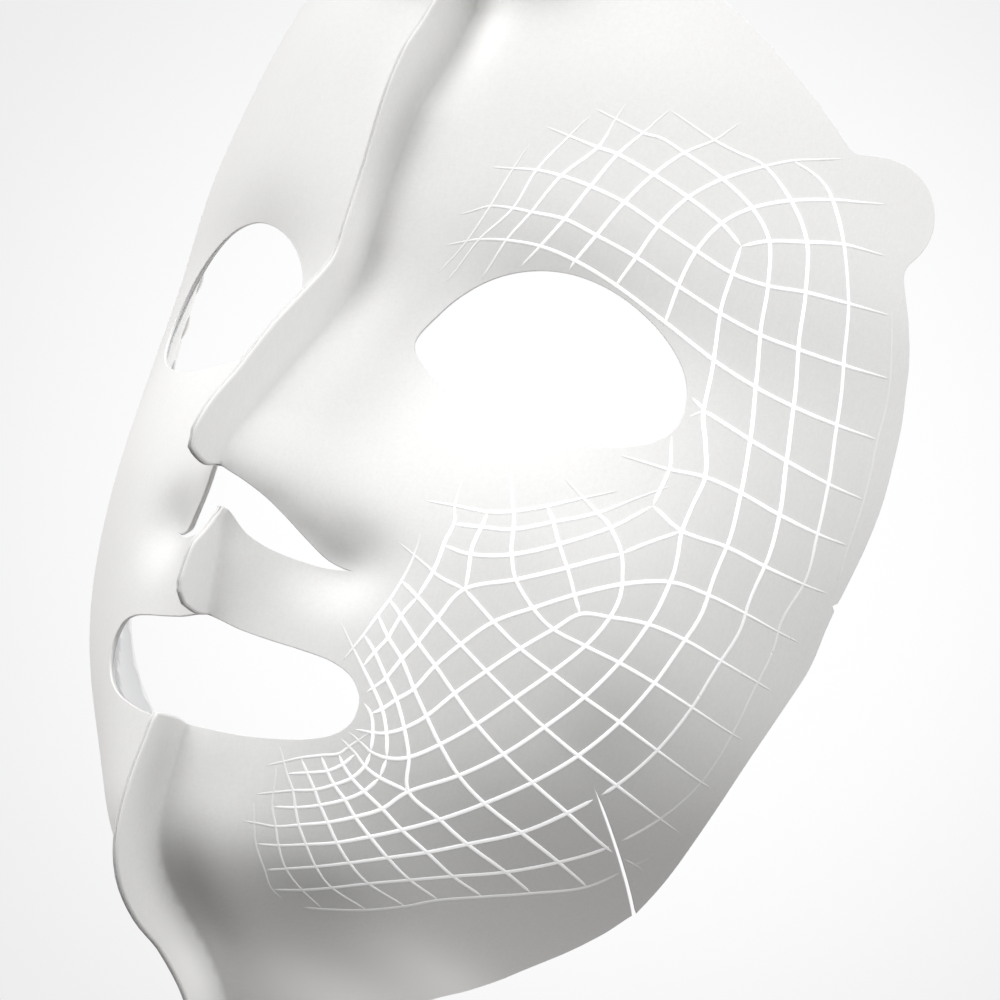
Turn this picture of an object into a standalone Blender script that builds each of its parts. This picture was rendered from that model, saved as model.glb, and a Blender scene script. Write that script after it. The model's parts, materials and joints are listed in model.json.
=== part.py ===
"""Soft LED face mask: two moulded panels welded together along a fin on the centre line, with LED tapes and a
silicone liner behind them, a small control pod on the forehead, two ear tabs and two jaw flaps.

Frame: +Z up, the face looks along -Y, the wearer's left is +X. The design frame, in mm, has its origin on the
centre plane at the root of the nose, and the empty mask_frame moves the middle of the whole box to the world's
origin. Every soft layer follows one master surface. A flat point on it is (arc, z): arc is the distance round the
face from the centre line and z is the height. A layer is that surface moved inwards by its depth. Pieces are drawn
for the +X half; side is +1 for the wearer's left and -1 for the mirrored right.
"""

import math
from functools import lru_cache

import bmesh
import bpy
import numpy as np
from mathutils import Matrix, Vector, geometry

for old in list(bpy.data.objects):
    bpy.data.objects.remove(old, do_unlink=True)

MM = 0.001
CENTRE = (0.0, 13.325, -23.337)      # middle of the whole mask's box in the design frame

frame = bpy.data.objects.new("mask_frame", None)
bpy.context.scene.collection.objects.link(frame)
frame.location = -Vector(CENTRE) * MM

# ---------------------------------------------------------------- driving dimensions, mm
# layers: depths of the outer and inner faces below the master surface
COVER_DEPTHS = (0, 0.6)
BUS_DEPTHS = (0.95, 1.15)
TAPE_DEPTHS = (1.50, 1.70)
SEAL_DEPTHS = (0.95, 2.45)
LINER_DEPTHS = (2.80, 3.50)
PAD_DEPTHS = (0.95, 1.60)

# x at which a layer's outer and inner faces begin, beside the centre plane
COVER_X = (0.70, 0.16)     # also the two faces of the fin flange
LINER_X = (0.30, 0.30)
RIBBON_X = 0.45
SHIFT_FADE = 18.0          # arc over which the sideways shift of that start dies away

FLANGE = 5.0               # nominal flange width in the flat pattern; FIN_WIDTH gives the real one
FIN_TOP_Z = 61.5
NOTCH_WIDTH, NOTCH_Z = 3.7, (72.4, 70.6)   # cover notch for the ribbon cable
SLIT = 0.7                 # width of the jaw slit
HINGE_GAP = 0.6            # between a tab or flap and the panel
LINER_INSET, SEAL_INSET = 1.8, 3.4         # from the panel's edges
EDGE_SEAL_WIDTH, EYE_SEAL_WIDTH = 3.0, 2.6
BUS_WIDTH, TAPE_WIDTH = 4.2, 5.0

LED_DEPTH = 2.40           # of a package's top
LED_HALF = 1.6             # half width of a package's foot
LED_TAPER = 0.9            # top size over foot size
LED_ENDS = 5.6             # least tape length left over beyond the first and last package centres

FILM_HALF = 0.08           # half thickness of the weld film
FILM_MARGIN = 0.35         # film's edge short of the fin's edge
FILM_ROOT = 0.1            # film's reach inwards past the crease

# master surface, (z, value) stations of its level sections
HALF_WIDTH = [(80, 75.5), (50, 84.5), (20, 92), (-10, 93), (-40, 86), (-70, 70), (-95, 43), (-115, 32)]
DEPTH = [(80, 63), (50, 73.5), (20, 76), (-10, 79), (-40, 81.5), (-70, 79.5), (-95, 73.5), (-115, 55.5)]
# y of the front line
FRONT = [(95, 24), (80, 17), (65, 12), (50, 7.5), (35, 5.3), (20, 4.4), (5, 4.3), (-10, 1.9), (-25, -1.6),
         (-40, -4.9), (-55, -7.6), (-70, -9.5), (-85, -11), (-94, -9.8), (-100, -5), (-106, 3.6), (-113, 12.5),
         (-120, 18.3)]
# nose height and nose half width
NOSE = [(30, 0), (20, 0.3), (12, 1.5), (4, 4), (-4, 8.5), (-14, 14), (-22, 17.2), (-28, 18.2), (-33, 16),
        (-38, 11.5), (-46, 8), (-56, 5), (-66, 2.5), (-80, 0.5), (-90, 0)]
NOSE_HALF = [(30, 14), (12, 12), (0, 13), (-14, 15.5), (-28, 19), (-34, 21), (-42, 24), (-60, 28), (-80, 30)]
FIN_WIDTH = [(62, 8.0), (56, 8.3), (49, 9.2), (42, 9.5), (34.5, 7.9), (26.5, 7.0), (20, 6.6), (13.5, 6.8),
             (8, 6.9), (1, 7.4), (-9.5, 7.7), (-20, 7.2), (-28.8, 7.1), (-31.2, 2.4), (-34, 1.2), (-38.4, 1.0),
             (-42, 3.7), (-45, 5.9), (-48.5, 6.8), (-51.2, 7.3), (-53.8, 5.6), (-60, 6.5), (-74.3, 7.4),
             (-83, 8.6), (-89, 9.2), (-95, 9.8), (-100.4, 9.0), (-105, 7.8), (-110, 7.8), (-121, 8.4)]
# how far the seam sits back from the panels' own section
SEAM_SET = [(62.8, 0), (60.8, 0.5), (58, 2.2), (54.5, 3.5), (49, 3.4), (41, 1.5), (35, -0.3), (27, -0.9),
            (20, -1.2), (14, -0.8), (8.5, 0.2), (1.5, 1.3), (-9.5, 2.1), (-19, 2.4), (-26, 1.4), (-31, 0.4),
            (-37, 0)]
SEAM_HALF = 8.0            # half width of the valley beside the seam
ROUNDNESS = 1.736          # exponent of the level sections
SECTION_ANGLE, SECTION_POINTS = 118, 900   # degrees swept from the front, and samples over them
NOSE_FALL, NOSE_POWER = 1.6, 1.25          # how the nose dies away sideways

# bumps: y shift (positive is inwards), x and z of the middle, x and z spread
EYE_SOCKET = (4.5, 33, 2, 17, 13)
CHEEK = (-3.0, 42, -32, 20, 22)
BESIDE_NOSE = (3.2, 20, -42.8, 7, 6.2)


# ---------------------------------------------------------------- master surface
def spline(stations):
    """Natural cubic spline through (place, value) stations, straight beyond its ends."""
    xs, ys = (np.array(column, float) for column in zip(*sorted(stations)))
    count, gap = len(xs), np.diff(xs)
    system, right = np.eye(count), np.zeros(count)
    for i in range(1, count - 1):
        system[i, i - 1 : i + 2] = gap[i - 1], 2 * (gap[i - 1] + gap[i]), gap[i]
        right[i] = 3 * ((ys[i + 1] - ys[i]) / gap[i] - (ys[i] - ys[i - 1]) / gap[i - 1])
    square = np.linalg.solve(system, right)
    linear = np.diff(ys) / gap - gap * (2 * square[:-1] + square[1:]) / 3
    cubic = np.diff(square) / (3 * gap)
    end_slope = linear[-1] + 2 * square[-2] * gap[-1] + 3 * cubic[-1] * gap[-1] ** 2

    def value(x):
        x = np.asarray(x, float)
        i = np.clip(np.searchsorted(xs, x) - 1, 0, count - 2)
        past = np.clip(x, xs[0], xs[-1]) - xs[i]
        y = ys[i] + linear[i] * past + square[i] * past * past + cubic[i] * past**3
        before = np.where(x < xs[0], linear[0] * (x - xs[0]), 0)
        return y + before + np.where(x > xs[-1], end_slope * (x - xs[-1]), 0)

    return value


def eased(stations):
    """Smooth curve through (place, value) stations that never overshoots them."""
    xs, ys = (np.array(column, float) for column in zip(*sorted(stations)))
    gap = np.diff(xs)
    slope = np.diff(ys) / gap
    product, total = slope[:-1] * slope[1:], slope[:-1] + slope[1:]
    middle = np.where(product > 0, 2 * product / np.where(total == 0, 1, total), 0)
    tangent = np.concatenate([[slope[0]], middle, [slope[-1]]])

    def value(x):
        x = np.clip(np.asarray(x, float), xs[0], xs[-1])
        i = np.clip(np.searchsorted(xs, x) - 1, 0, len(xs) - 2)
        part = (x - xs[i]) / gap[i]
        rest = 1 - part
        return (ys[i] * (1 + 2 * part) * rest**2 + tangent[i] * gap[i] * part * rest**2
                + ys[i + 1] * part * part * (3 - 2 * part) - tangent[i + 1] * gap[i] * part * part * rest)

    return value


half_width_at, depth_at, front_at = spline(HALF_WIDTH), spline(DEPTH), spline(FRONT)
nose_at, nose_half_at = spline(NOSE), spline(NOSE_HALF)
fin_width_at, seam_set_at = eased(FIN_WIDTH), eased(SEAM_SET)

ARC_STEP = 0.5
HEIGHTS, ARCS = np.arange(-128, 92.1, 1.0), np.arange(0, 125.1, ARC_STEP)


def bump(x, z, shape):
    shift, mid_x, mid_z, spread_x, spread_z = shape
    return shift * np.exp(-(((x - mid_x) / spread_x) ** 2) - ((z - mid_z) / spread_z) ** 2)


def run_length(line):
    """Distance along a polyline to each of its points."""
    return np.concatenate([[0], np.cumsum(np.linalg.norm(np.diff(line, axis=0), axis=1))])


def level_section(z):
    """x and y along one level section, at the distances ARCS round it."""
    angle = np.radians(np.linspace(0, SECTION_ANGLE, SECTION_POINTS))
    x = half_width_at(z) * np.sin(angle)
    cosine = np.cos(angle)
    y = front_at(z) + depth_at(z) * (1 - np.sign(cosine) * np.abs(cosine) ** (2 / ROUNDNESS))
    y -= max(float(nose_at(z)), 0) * np.exp(-NOSE_FALL * (x / nose_half_at(z)) ** NOSE_POWER)
    y += bump(x, z, EYE_SOCKET)
    y += bump(x, z, CHEEK)
    run = run_length(np.stack([x, y], 1))
    # these last two move the surface without changing the measure round it
    y += seam_set_at(z) * np.exp(-((x / SEAM_HALF) ** 2))
    y += bump(x, z, BESIDE_NOSE)
    return np.interp(ARCS, run, x), np.interp(ARCS, run, y)


def averaged(values):
    """Each inner value blended with its two neighbours."""
    return (values[:-2] + 2 * values[1:-1] + values[2:]) / 4


SECTIONS = np.array([level_section(z) for z in HEIGHTS])
SURFACE = np.stack([SECTIONS[:, 0], SECTIONS[:, 1], np.repeat(HEIGHTS[:, None], len(ARCS), 1)], -1)
outward = np.cross(np.gradient(SURFACE, ARC_STEP, axis=1), np.gradient(SURFACE, 1.0, axis=0))
NORMAL = outward / np.maximum(np.linalg.norm(outward, axis=-1, keepdims=True), 1e-9)

# the crease is the surface's line on the centre plane
CREASE_Y = SURFACE[:, 0, 1]
CREASE_SLOPE = np.gradient(CREASE_Y, 1.0)
for _ in range(6):
    CREASE_SLOPE[1:-1] = averaged(CREASE_SLOPE)


def lookup(table, arc, z):
    """Bilinear value of a surface table at flat points."""
    i = np.clip(np.asarray(z, float) - HEIGHTS[0], 0, len(HEIGHTS) - 1.001)
    j = np.clip(np.asarray(arc, float) / ARC_STEP, 0, len(ARCS) - 1.001)
    row, column = i.astype(int), j.astype(int)
    up, along = (i - row)[..., None], (j - column)[..., None]
    return (table[row, column] * (1 - up) * (1 - along) + table[row + 1, column] * up * (1 - along)
            + table[row, column + 1] * (1 - up) * along + table[row + 1, column + 1] * up * along)


@lru_cache(maxsize=None)
def start_of(depth, x_min):
    """For each height, the arc at which a layer at this depth is x_min off the centre plane."""
    x = SURFACE[..., 0] - NORMAL[..., 0] * depth
    found = []
    for row in x[:, :80]:
        low = np.nonzero(row < x_min)[0]
        if len(low):
            last = low[-1]
            found.append((last + (x_min - row[last]) / max(row[last + 1] - row[last], 1e-6)) * ARC_STEP)
        else:
            found.append(0.0)
    found = np.array(found)
    for _ in range(4):
        found[1:-1] = np.maximum(found[1:-1], averaged(found))
    return found


def fin_points(z, reach):
    """y and z of the points that lie reach out from the crease, square to it."""
    y, slope = np.interp(z, HEIGHTS, CREASE_Y), np.interp(z, HEIGHTS, CREASE_SLOPE)
    out = reach / np.sqrt(1 + slope * slope)
    return y - out, z + out * slope


def place(flat, depth, x_min):
    """Flat points to 3D on a layer of the +X panel. An arc below 0 is on the fin flange."""
    flat = np.asarray(flat, float)
    arc, z = flat[:, 0], flat[:, 1]
    on_panel = np.maximum(arc, 0)
    start = np.interp(z, HEIGHTS, start_of(depth, x_min))
    run = on_panel + start * np.clip(1 - on_panel / SHIFT_FADE, 0, 1)
    points = lookup(SURFACE, run, z) - lookup(NORMAL, run, z) * depth
    points[:, 0] = np.where(arc <= 1e-6, x_min, points[:, 0])
    on_fin = np.clip(-arc / FLANGE, 0, 1)[:, None]
    tip = np.stack([np.full_like(z, x_min), *fin_points(z, fin_width_at(z))], -1)
    return np.where(on_fin > 0, points * (1 - on_fin) + tip * on_fin, points)


# ---------------------------------------------------------------- flat curves
def resample(line, step, closed=False):
    """Points spread evenly along a polyline, about step apart. A closed line must end on its first point."""
    run = run_length(line)
    count = max(2, int(round(run[-1] / step)))
    at = np.linspace(0, run[-1], count + 1)
    if closed:
        at = at[:-1]
    return np.stack([np.interp(at, run, line[:, k]) for k in (0, 1)], 1)


def resample_loop(loop, step):
    return resample(np.vstack([loop, loop[:1]]), step, closed=True)


def smooth(points, step, closed=False):
    """A Catmull-Rom curve through the points, resampled about every step mm."""
    knots = [np.array(point, float) for point in points]
    if closed:
        knots = [knots[-1], *knots, knots[0], knots[1]]
    else:
        knots = [2 * knots[0] - knots[1], *knots, 2 * knots[-1] - knots[-2]]
    out = []
    for before, start, end, after in zip(knots, knots[1:], knots[2:], knots[3:]):
        for part in np.linspace(0, 1, 12, endpoint=False):
            out.append(0.5 * (2 * start + (end - before) * part
                              + (2 * before - 5 * start + 4 * end - after) * part**2
                              + (3 * start - before - 3 * end + after) * part**3))
    out.append(knots[-2])
    return resample(np.array(out), step, closed)


def straight(start, end, step):
    return resample(np.array([start, end]), step)


def distance_to(points, line, closed=True):
    """Distance from each point to a polyline."""
    start = line if closed else line[:-1]
    end = np.roll(line, -1, 0) if closed else line[1:]
    edge = end - start
    offset = points[:, None, :] - start[None]
    part = np.clip((offset * edge).sum(-1) / np.maximum((edge * edge).sum(-1), 1e-12), 0, 1)
    return np.linalg.norm(offset - part[..., None] * edge, axis=-1).min(1)


def inside(points, loop):
    x, y = points[:, 0][:, None], points[:, 1][:, None]
    start_x, start_y = loop[:, 0], loop[:, 1]
    end_x, end_y = np.roll(start_x, -1), np.roll(start_y, -1)
    rise = np.where(end_y == start_y, 1e-12, end_y - start_y)
    crossed = ((start_y > y) != (end_y > y)) & (x < (end_x - start_x) * (y - start_y) / rise + start_x)
    return crossed.sum(1) % 2 == 1


def moved_left(loop, distance):
    """The loop moved to the left of its direction of travel."""
    along = np.roll(loop, -1, 0) - np.roll(loop, 1, 0)
    along /= np.linalg.norm(along, axis=1)[:, None]
    return loop + np.stack([-along[:, 1], along[:, 0]], 1) * distance


def cut_back(loop, distance, step):
    """An anticlockwise loop moved inwards, without the folds at tight corners."""
    fine = resample_loop(loop, 0.8)
    moved = moved_left(fine, distance)
    return resample_loop(moved[distance_to(moved, fine) > distance * 0.97], step)


def anticlockwise(loop):
    area = (loop[:, 0] * np.roll(loop[:, 1], -1) - loop[:, 1] * np.roll(loop[:, 0], -1)).sum()
    return loop if area > 0 else loop[::-1]


# ---------------------------------------------------------------- panel pattern, (arc, z) points
NOSTRIL_TOP = [(0, -31.5), (1.8, -32.2), (4.5, -33.1), (8, -34.8), (11, -37), (14.5, -39.9), (17.5, -42.1),
               (20, -42.9), (22.3, -43.1)]
NOSTRIL_LOW = [(22.3, -43.1), (19.2, -43.7), (16.5, -43.9), (12.3, -43.6), (8.5, -43), (5, -41.9), (3, -40.7),
               (1.2, -38.9), (0, -38.2)]
MOUTH_TOP = [(0, -55.8), (3, -56.3), (7, -57), (13, -57.5), (18.5, -57.8), (24, -58.4), (28, -60),
             (30.2, -62.8), (30.5, -65)]
MOUTH_LOW = [(30.5, -65), (29.8, -67.6), (27.5, -70), (23.5, -71.8), (18.5, -73), (11.5, -74), (4.5, -74.3),
             (0, -74.3)]
BOTTOM = [(0, -121), (14, -118), (28, -113.5), (42, -108.3), (52.5, -105), (64, -101), (76.5, -95.6),
          (84, -90.8), (88.0, -86.7)]
SIDE = [(104.2, -38.0), (107.8, -29), (107.6, -21), (105.2, -12), (100.5, -1), (97.6, 7.5), (96.6, 13),
        (95.2, 19), (93.2, 24), (91.2, 28.6)]
CROWN = [(77.6, 44.4), (71, 49.7), (63.5, 55), (53.5, 61.2), (45, 65.5), (34, 70), (20, 75), (8, 77.6), (0, 78)]
EYE = [(16.6, -3), (17.4, 3), (20.5, 7.6), (25.5, 11.2), (32, 13.4), (39, 13.8), (46.5, 12.2), (54, 8.6),
       (60.5, 3.6), (64.4, -1.2), (66.4, -6), (65.6, -9.6), (62, -12.2), (56, -14), (48, -14.8), (40, -14),
       (30, -11.2), (22, -7.4)]
SLIT_END, FLAP_TOP = (71.5, -67.5), SIDE[0]       # ends of the jaw flap's hinge
TAB_LOW, TAB_HIGH = SIDE[-1], CROWN[0]            # ends of the ear tab's hinge
# free edges of the jaw flap and the ear tab
JAW = [(89.2, -85.1), (90.6, -80), (92.8, -70), (96.2, -59), (100.2, -48.5), FLAP_TOP]
TAB = [(77.9, 45.1), (80, 45.6), (84.6, 45.9), (89.4, 44.4), (93, 40.8), (94.6, 36), (93.8, 32), (91.9, 29.2)]
TAB_CENTRE = (86.5, 38.0)

# the stretches of centre line between the openings: z of top and bottom
UPPER_RUN = (CROWN[-1][1], NOSTRIL_TOP[0][1])
LIP_RUN = (NOSTRIL_LOW[-1][1], MOUTH_TOP[0][1])
CHIN_RUN = (MOUTH_LOW[-1][1], BOTTOM[0][1])


def column(arc, heights):
    return [(arc, z) for z in heights]


def panel_outline(step, upper, lip, chin):
    """Outline of a panel, anticlockwise, from its points along the three stretches of centre line."""
    return np.vstack([
        upper, smooth(NOSTRIL_TOP, step * 0.6), smooth(NOSTRIL_LOW, step * 0.6)[1:],
        lip, smooth(MOUTH_TOP, step * 0.7), smooth(MOUTH_LOW, step * 0.7)[1:],
        chin, smooth(BOTTOM, step), straight(BOTTOM[-1], SLIT_END, step)[1:],
        straight(SLIT_END, FLAP_TOP, step)[1:], smooth(SIDE, step)[1:],
        straight(TAB_LOW, TAB_HIGH, step)[1:], smooth(CROWN, step)[1:-1]])


def cover_outline():
    """The panel with its weld flange, and with the cable notch above it."""
    notch = [(0, NOTCH_Z[0]), (NOTCH_WIDTH, NOTCH_Z[0]), (NOTCH_WIDTH, NOTCH_Z[1]), (0, NOTCH_Z[1])]
    upper = [(0, UPPER_RUN[0]), *notch, (0, 66), (0, FIN_TOP_Z)]
    upper += column(-FLANGE, [*np.linspace(FIN_TOP_Z, -28.8, 18), -31.0])
    lip = column(-FLANGE, (-39.2, -42, -45, -48.5, -51.2, -54.4))
    chin = column(-FLANGE, np.linspace(-75, -120.5, 9))
    return panel_outline(5.2, upper, lip, chin)


def inset_outline(inset, step):
    """The panel without flange or notch, cut back on every edge but the centre line."""
    runs = ((UPPER_RUN, 40), (LIP_RUN, 8), (CHIN_RUN, 20))
    wide = panel_outline(1.5, *(column(-inset, np.linspace(*run, count)) for run, count in runs))
    return cut_back(wide, inset, step)


def grown_eye(distance, step):
    """The eye opening made larger all round. EYE runs clockwise, so its left is outwards."""
    return resample_loop(moved_left(smooth(EYE, 1.0, closed=True), distance), step)


def seal_path():
    """The part of the inset outline that runs round the outer edge, from under the chin to the crown."""
    loop = inset_outline(SEAL_INSET, 1.0)
    start = int(np.argmin(np.hypot(loop[:, 0] - 5, loop[:, 1] + 116.4)))
    stop = int(np.argmin(np.hypot(loop[:, 0] - 9, loop[:, 1] - 74)))
    return np.roll(loop, -start, 0)[: (stop - start) % len(loop) + 1]


def hinge_axes(low, high):
    """Ends of a hinge line, its direction, and the direction away from the panel."""
    low, high = np.array(low), np.array(high)
    along = (high - low) / np.linalg.norm(high - low)
    return low, high, along, np.array([along[1], -along[0]])


def flap_outline(inset):
    """The jaw flap beyond its hinge line, drawn clear of the panel."""
    low, high, along, away = hinge_axes(SLIT_END, FLAP_TOP)
    gap = HINGE_GAP + inset
    slit = np.array(JAW[0]) - low
    slit /= np.linalg.norm(slit)
    jaw = smooth(JAW, 5.0)
    jaw = jaw[distance_to(jaw, np.array([low, high]), False) > gap + 0.8]
    free = jaw - (np.array([1.0, 0.25]) * inset)
    start = low + slit * (2.2 + inset * 2.2) + along * (SLIT / 2 + inset * 0.5)
    lower = np.array([start, (start + free[0]) / 2 + along * inset * 0.3, free[0] + (along * inset * 1.2)])
    base_high = high - along * (1.2 + inset * 1.6) + away * gap
    base_low = low + along * (3.4 + inset * 2.2) + away * gap
    return np.vstack([resample(lower, 5.0), free[1:], straight(base_high, base_low, 5.0)])


def tab_outline(inset):
    """The ear tab beyond its hinge line."""
    low, high, along, away = hinge_axes(TAB_LOW, TAB_HIGH)
    gap = HINGE_GAP + inset * 0.5
    centre = np.array(TAB_CENTRE)
    free = centre + (smooth(TAB, 3.0) - centre) * (1 - inset / 8.0)
    free = free[(free - low) @ away > gap]
    base_low = low + along * (1.0 + inset) + away * gap
    base_high = high - along * (1.0 + inset) + away * gap
    return np.vstack([free, straight(base_low, base_high, 4.0)])


# ---------------------------------------------------------------- triangulated regions
def in_region(points, outer, holes):
    keep = inside(points, outer)
    for hole in holes:
        keep &= ~inside(points, hole)
    return keep


def interior_grid(outer, holes, spacing, creases):
    """Staggered rows of points inside the region, kept clear of its edges and creases."""
    grid = []
    low, high = outer.min(0), outer.max(0)
    z, row = low[1], 0
    while z < high[1]:
        arc = max(low[0], 0) + 0.001
        while arc < high[0]:
            gap = spacing(arc, z)
            arc += gap
            grid.append((arc - (gap / 2 if row % 2 else 0), z, gap))
        fine, broad = spacing(10, z), spacing(60, z)
        z += fine if fine < broad * 0.75 else broad * 0.87
        row += 1
    grid = np.array(grid)
    points, gaps = grid[:, :2], grid[:, 2]
    keep = in_region(points, outer, holes) & (grid[:, 0] > 0.5 * gaps)
    for loop in [outer, *holes]:
        keep &= distance_to(points, loop) > 0.55 * gaps
    for crease in creases:
        keep &= distance_to(points, np.array(crease), False) > 0.5 * gaps
    return points[keep]


def triangulate(outer, holes, spacing, creases=()):
    """Points and triangles of the region inside outer and outside the holes."""
    points, edges = [], []
    for loop in [outer, *holes]:
        first = len(points)
        points += [tuple(point) for point in loop]
        edges += [(first + i, first + (i + 1) % len(loop)) for i in range(len(loop))]
    for crease in creases:
        first = len(points)
        points += crease
        edges += [(first + i, first + i + 1) for i in range(len(crease) - 1)]
    points += [tuple(point) for point in interior_grid(outer, holes, spacing, creases)]
    result = geometry.delaunay_2d_cdt([Vector(point) for point in points], edges, [], 0, 1e-5)
    verts = np.array([tuple(vert) for vert in result[0]])
    faces = np.array([face for face in result[2] if len(face) == 3])
    faces = faces[in_region(verts[faces].mean(1), outer, holes)]
    first, second, third = (verts[faces[:, k]] for k in range(3))
    area = ((second[:, 0] - first[:, 0]) * (third[:, 1] - first[:, 1])
            - (second[:, 1] - first[:, 1]) * (third[:, 0] - first[:, 0]))
    faces[area < 0] = faces[area < 0][:, ::-1]
    used = np.unique(faces)
    renumber = -np.ones(len(verts), int)
    renumber[used] = np.arange(len(used))
    return verts[used], renumber[faces]


# mesh spacing: finer round the nose
def cover_spacing(arc, z):
    return 3.6 if arc < 26 and -52 < z < 10 else 7.6


def liner_spacing(arc, z):
    return 4.6 if arc < 24 and -48 < z < 8 else 9.5


def flap_spacing(_arc, _z):
    return 6.5


def cover_region():
    creases = [column(0, np.linspace(FIN_TOP_Z, UPPER_RUN[1], 24)), column(0, np.linspace(*LIP_RUN, 5)),
               column(0, np.linspace(*CHIN_RUN, 10))]
    return triangulate(cover_outline(), [smooth(EYE, 5.0, closed=True)], cover_spacing, creases)


def liner_region():
    outer = inset_outline(LINER_INSET, 7.0)
    outer[:, 0] = np.where(outer[:, 0] < 0.6, 0, outer[:, 0])      # straightens the centre line
    return triangulate(outer, [grown_eye(LINER_INSET, 6.0)], liner_spacing)


def flap_region(outline):
    return triangulate(anticlockwise(outline), [], flap_spacing)


# ---------------------------------------------------------------- materials
def material(name, colour, roughness, metallic=0.0):
    made = bpy.data.materials.new(name)
    made.use_nodes = True
    shader = made.node_tree.nodes["Principled BSDF"]
    shader.inputs["Base Color"].default_value = (*colour, 1)
    shader.inputs["Roughness"].default_value = roughness
    shader.inputs["Metallic"].default_value = metallic
    return made


SOFT = material("soft_cover", colour=(0.84, 0.84, 0.82), roughness=0.85)
SILICONE = material("silicone", colour=(0.86, 0.87, 0.88), roughness=0.45)
SEAM = material("seam_film", colour=(0.80, 0.80, 0.78), roughness=0.6)
TAPE = material("led_tape", colour=(0.90, 0.88, 0.80), roughness=0.4)
COPPER = material("bus_tape", colour=(0.72, 0.50, 0.30), roughness=0.4, metallic=0.6)
SHELL = material("pod_shell", colour=(0.88, 0.88, 0.87), roughness=0.35)
BOARD = material("board", colour=(0.05, 0.22, 0.12), roughness=0.4)
CELL = material("cell", colour=(0.62, 0.64, 0.66), roughness=0.35, metallic=0.8)
METAL = material("socket_metal", colour=(0.75, 0.76, 0.78), roughness=0.25, metallic=1.0)
LENS = material("lens", colour=(0.85, 0.92, 0.95), roughness=0.1)


# ---------------------------------------------------------------- objects
def add(name, verts, faces, look, smooth_angle=40, side=1):
    """An object from points in mm on the +X half, mirrored for the right side."""
    verts = np.asarray(verts) * (side, 1, 1) * MM
    mesh = bpy.data.meshes.new(name)
    mesh.from_pydata([tuple(vert) for vert in verts], [], [tuple(int(i) for i in face) for face in faces])
    mesh.validate()
    shape = bmesh.new()
    shape.from_mesh(mesh)
    bmesh.ops.recalc_face_normals(shape, faces=shape.faces)
    shape.to_mesh(mesh)
    shape.free()
    mesh.shade_smooth()
    mesh.set_sharp_from_angle(angle=math.radians(smooth_angle))
    mesh.materials.append(look)
    made = bpy.data.objects.new(name, mesh)
    bpy.context.scene.collection.objects.link(made)
    made.parent = frame
    return made


def set_origin(body, point):
    """Puts an object's origin on a point in mm, such as one on its joint's axis, leaving its shape in place."""
    at = Vector([float(value) for value in point]) * MM
    body.data.transform(Matrix.Translation(-at))
    body.location = at


def hinge_point(low, high):
    """The middle of the straight hinge line nearest the curved fold between two flat points."""
    ends = [np.array(low, float), np.array(high, float)]
    start, middle, end = place([ends[0], (ends[0] + ends[1]) / 2, ends[1]], COVER_DEPTHS[1] / 2, 0.3)
    chord = (start + end) / 2
    return chord + (middle - chord) * 0.6


def sheet(name, region, depths, x_mins, look, side):
    """A closed sheet between two layers over a flat region."""
    flat, triangles = region
    count = len(flat)
    verts = np.vstack([place(flat, depth, x_min) for depth, x_min in zip(depths, x_mins)])
    edges = dict.fromkeys(edge for a, b, c in triangles for edge in ((a, b), (b, c), (c, a)))
    rim = [edge for edge in edges if (edge[1], edge[0]) not in edges]
    faces = [(a, b, c) for a, b, c in triangles]
    faces += [(c + count, b + count, a + count) for a, b, c in triangles]
    faces += [(b, a, a + count, b + count) for a, b in rim]
    return add(name, verts, faces, look, side=side)


def row_count(length, step):
    return max(3, int(round(length / step)) + 1)


def led_rows(total, pitch):
    """Distances along a tape: its start, the two edges of each package, and its end."""
    count = int((total - LED_ENDS) // pitch) + 1
    first = (total - pitch * (count - 1)) / 2
    edges = [first + pitch * i + half for i in range(count) for half in (-LED_HALF, LED_HALF)]
    return np.array([0.0, *edges, total])


def led_package(verts, foot, middle):
    """Adds a package's top points to verts, over a foot on the tape's inner face, and returns its faces."""
    centre = sum(verts[i] for i in foot) / 4
    normal = lookup(NORMAL, middle[:1], middle[1:])[0]
    first = len(verts)
    for i in foot:
        verts.append(centre + (verts[i] - centre) * LED_TAPER - normal * (LED_DEPTH - TAPE_DEPTHS[1]))
    tops = [first + i for i in range(4)]
    return [tuple(tops)] + [(foot[i], foot[(i + 1) % 4], tops[(i + 1) % 4], tops[i]) for i in range(4)]


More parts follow.
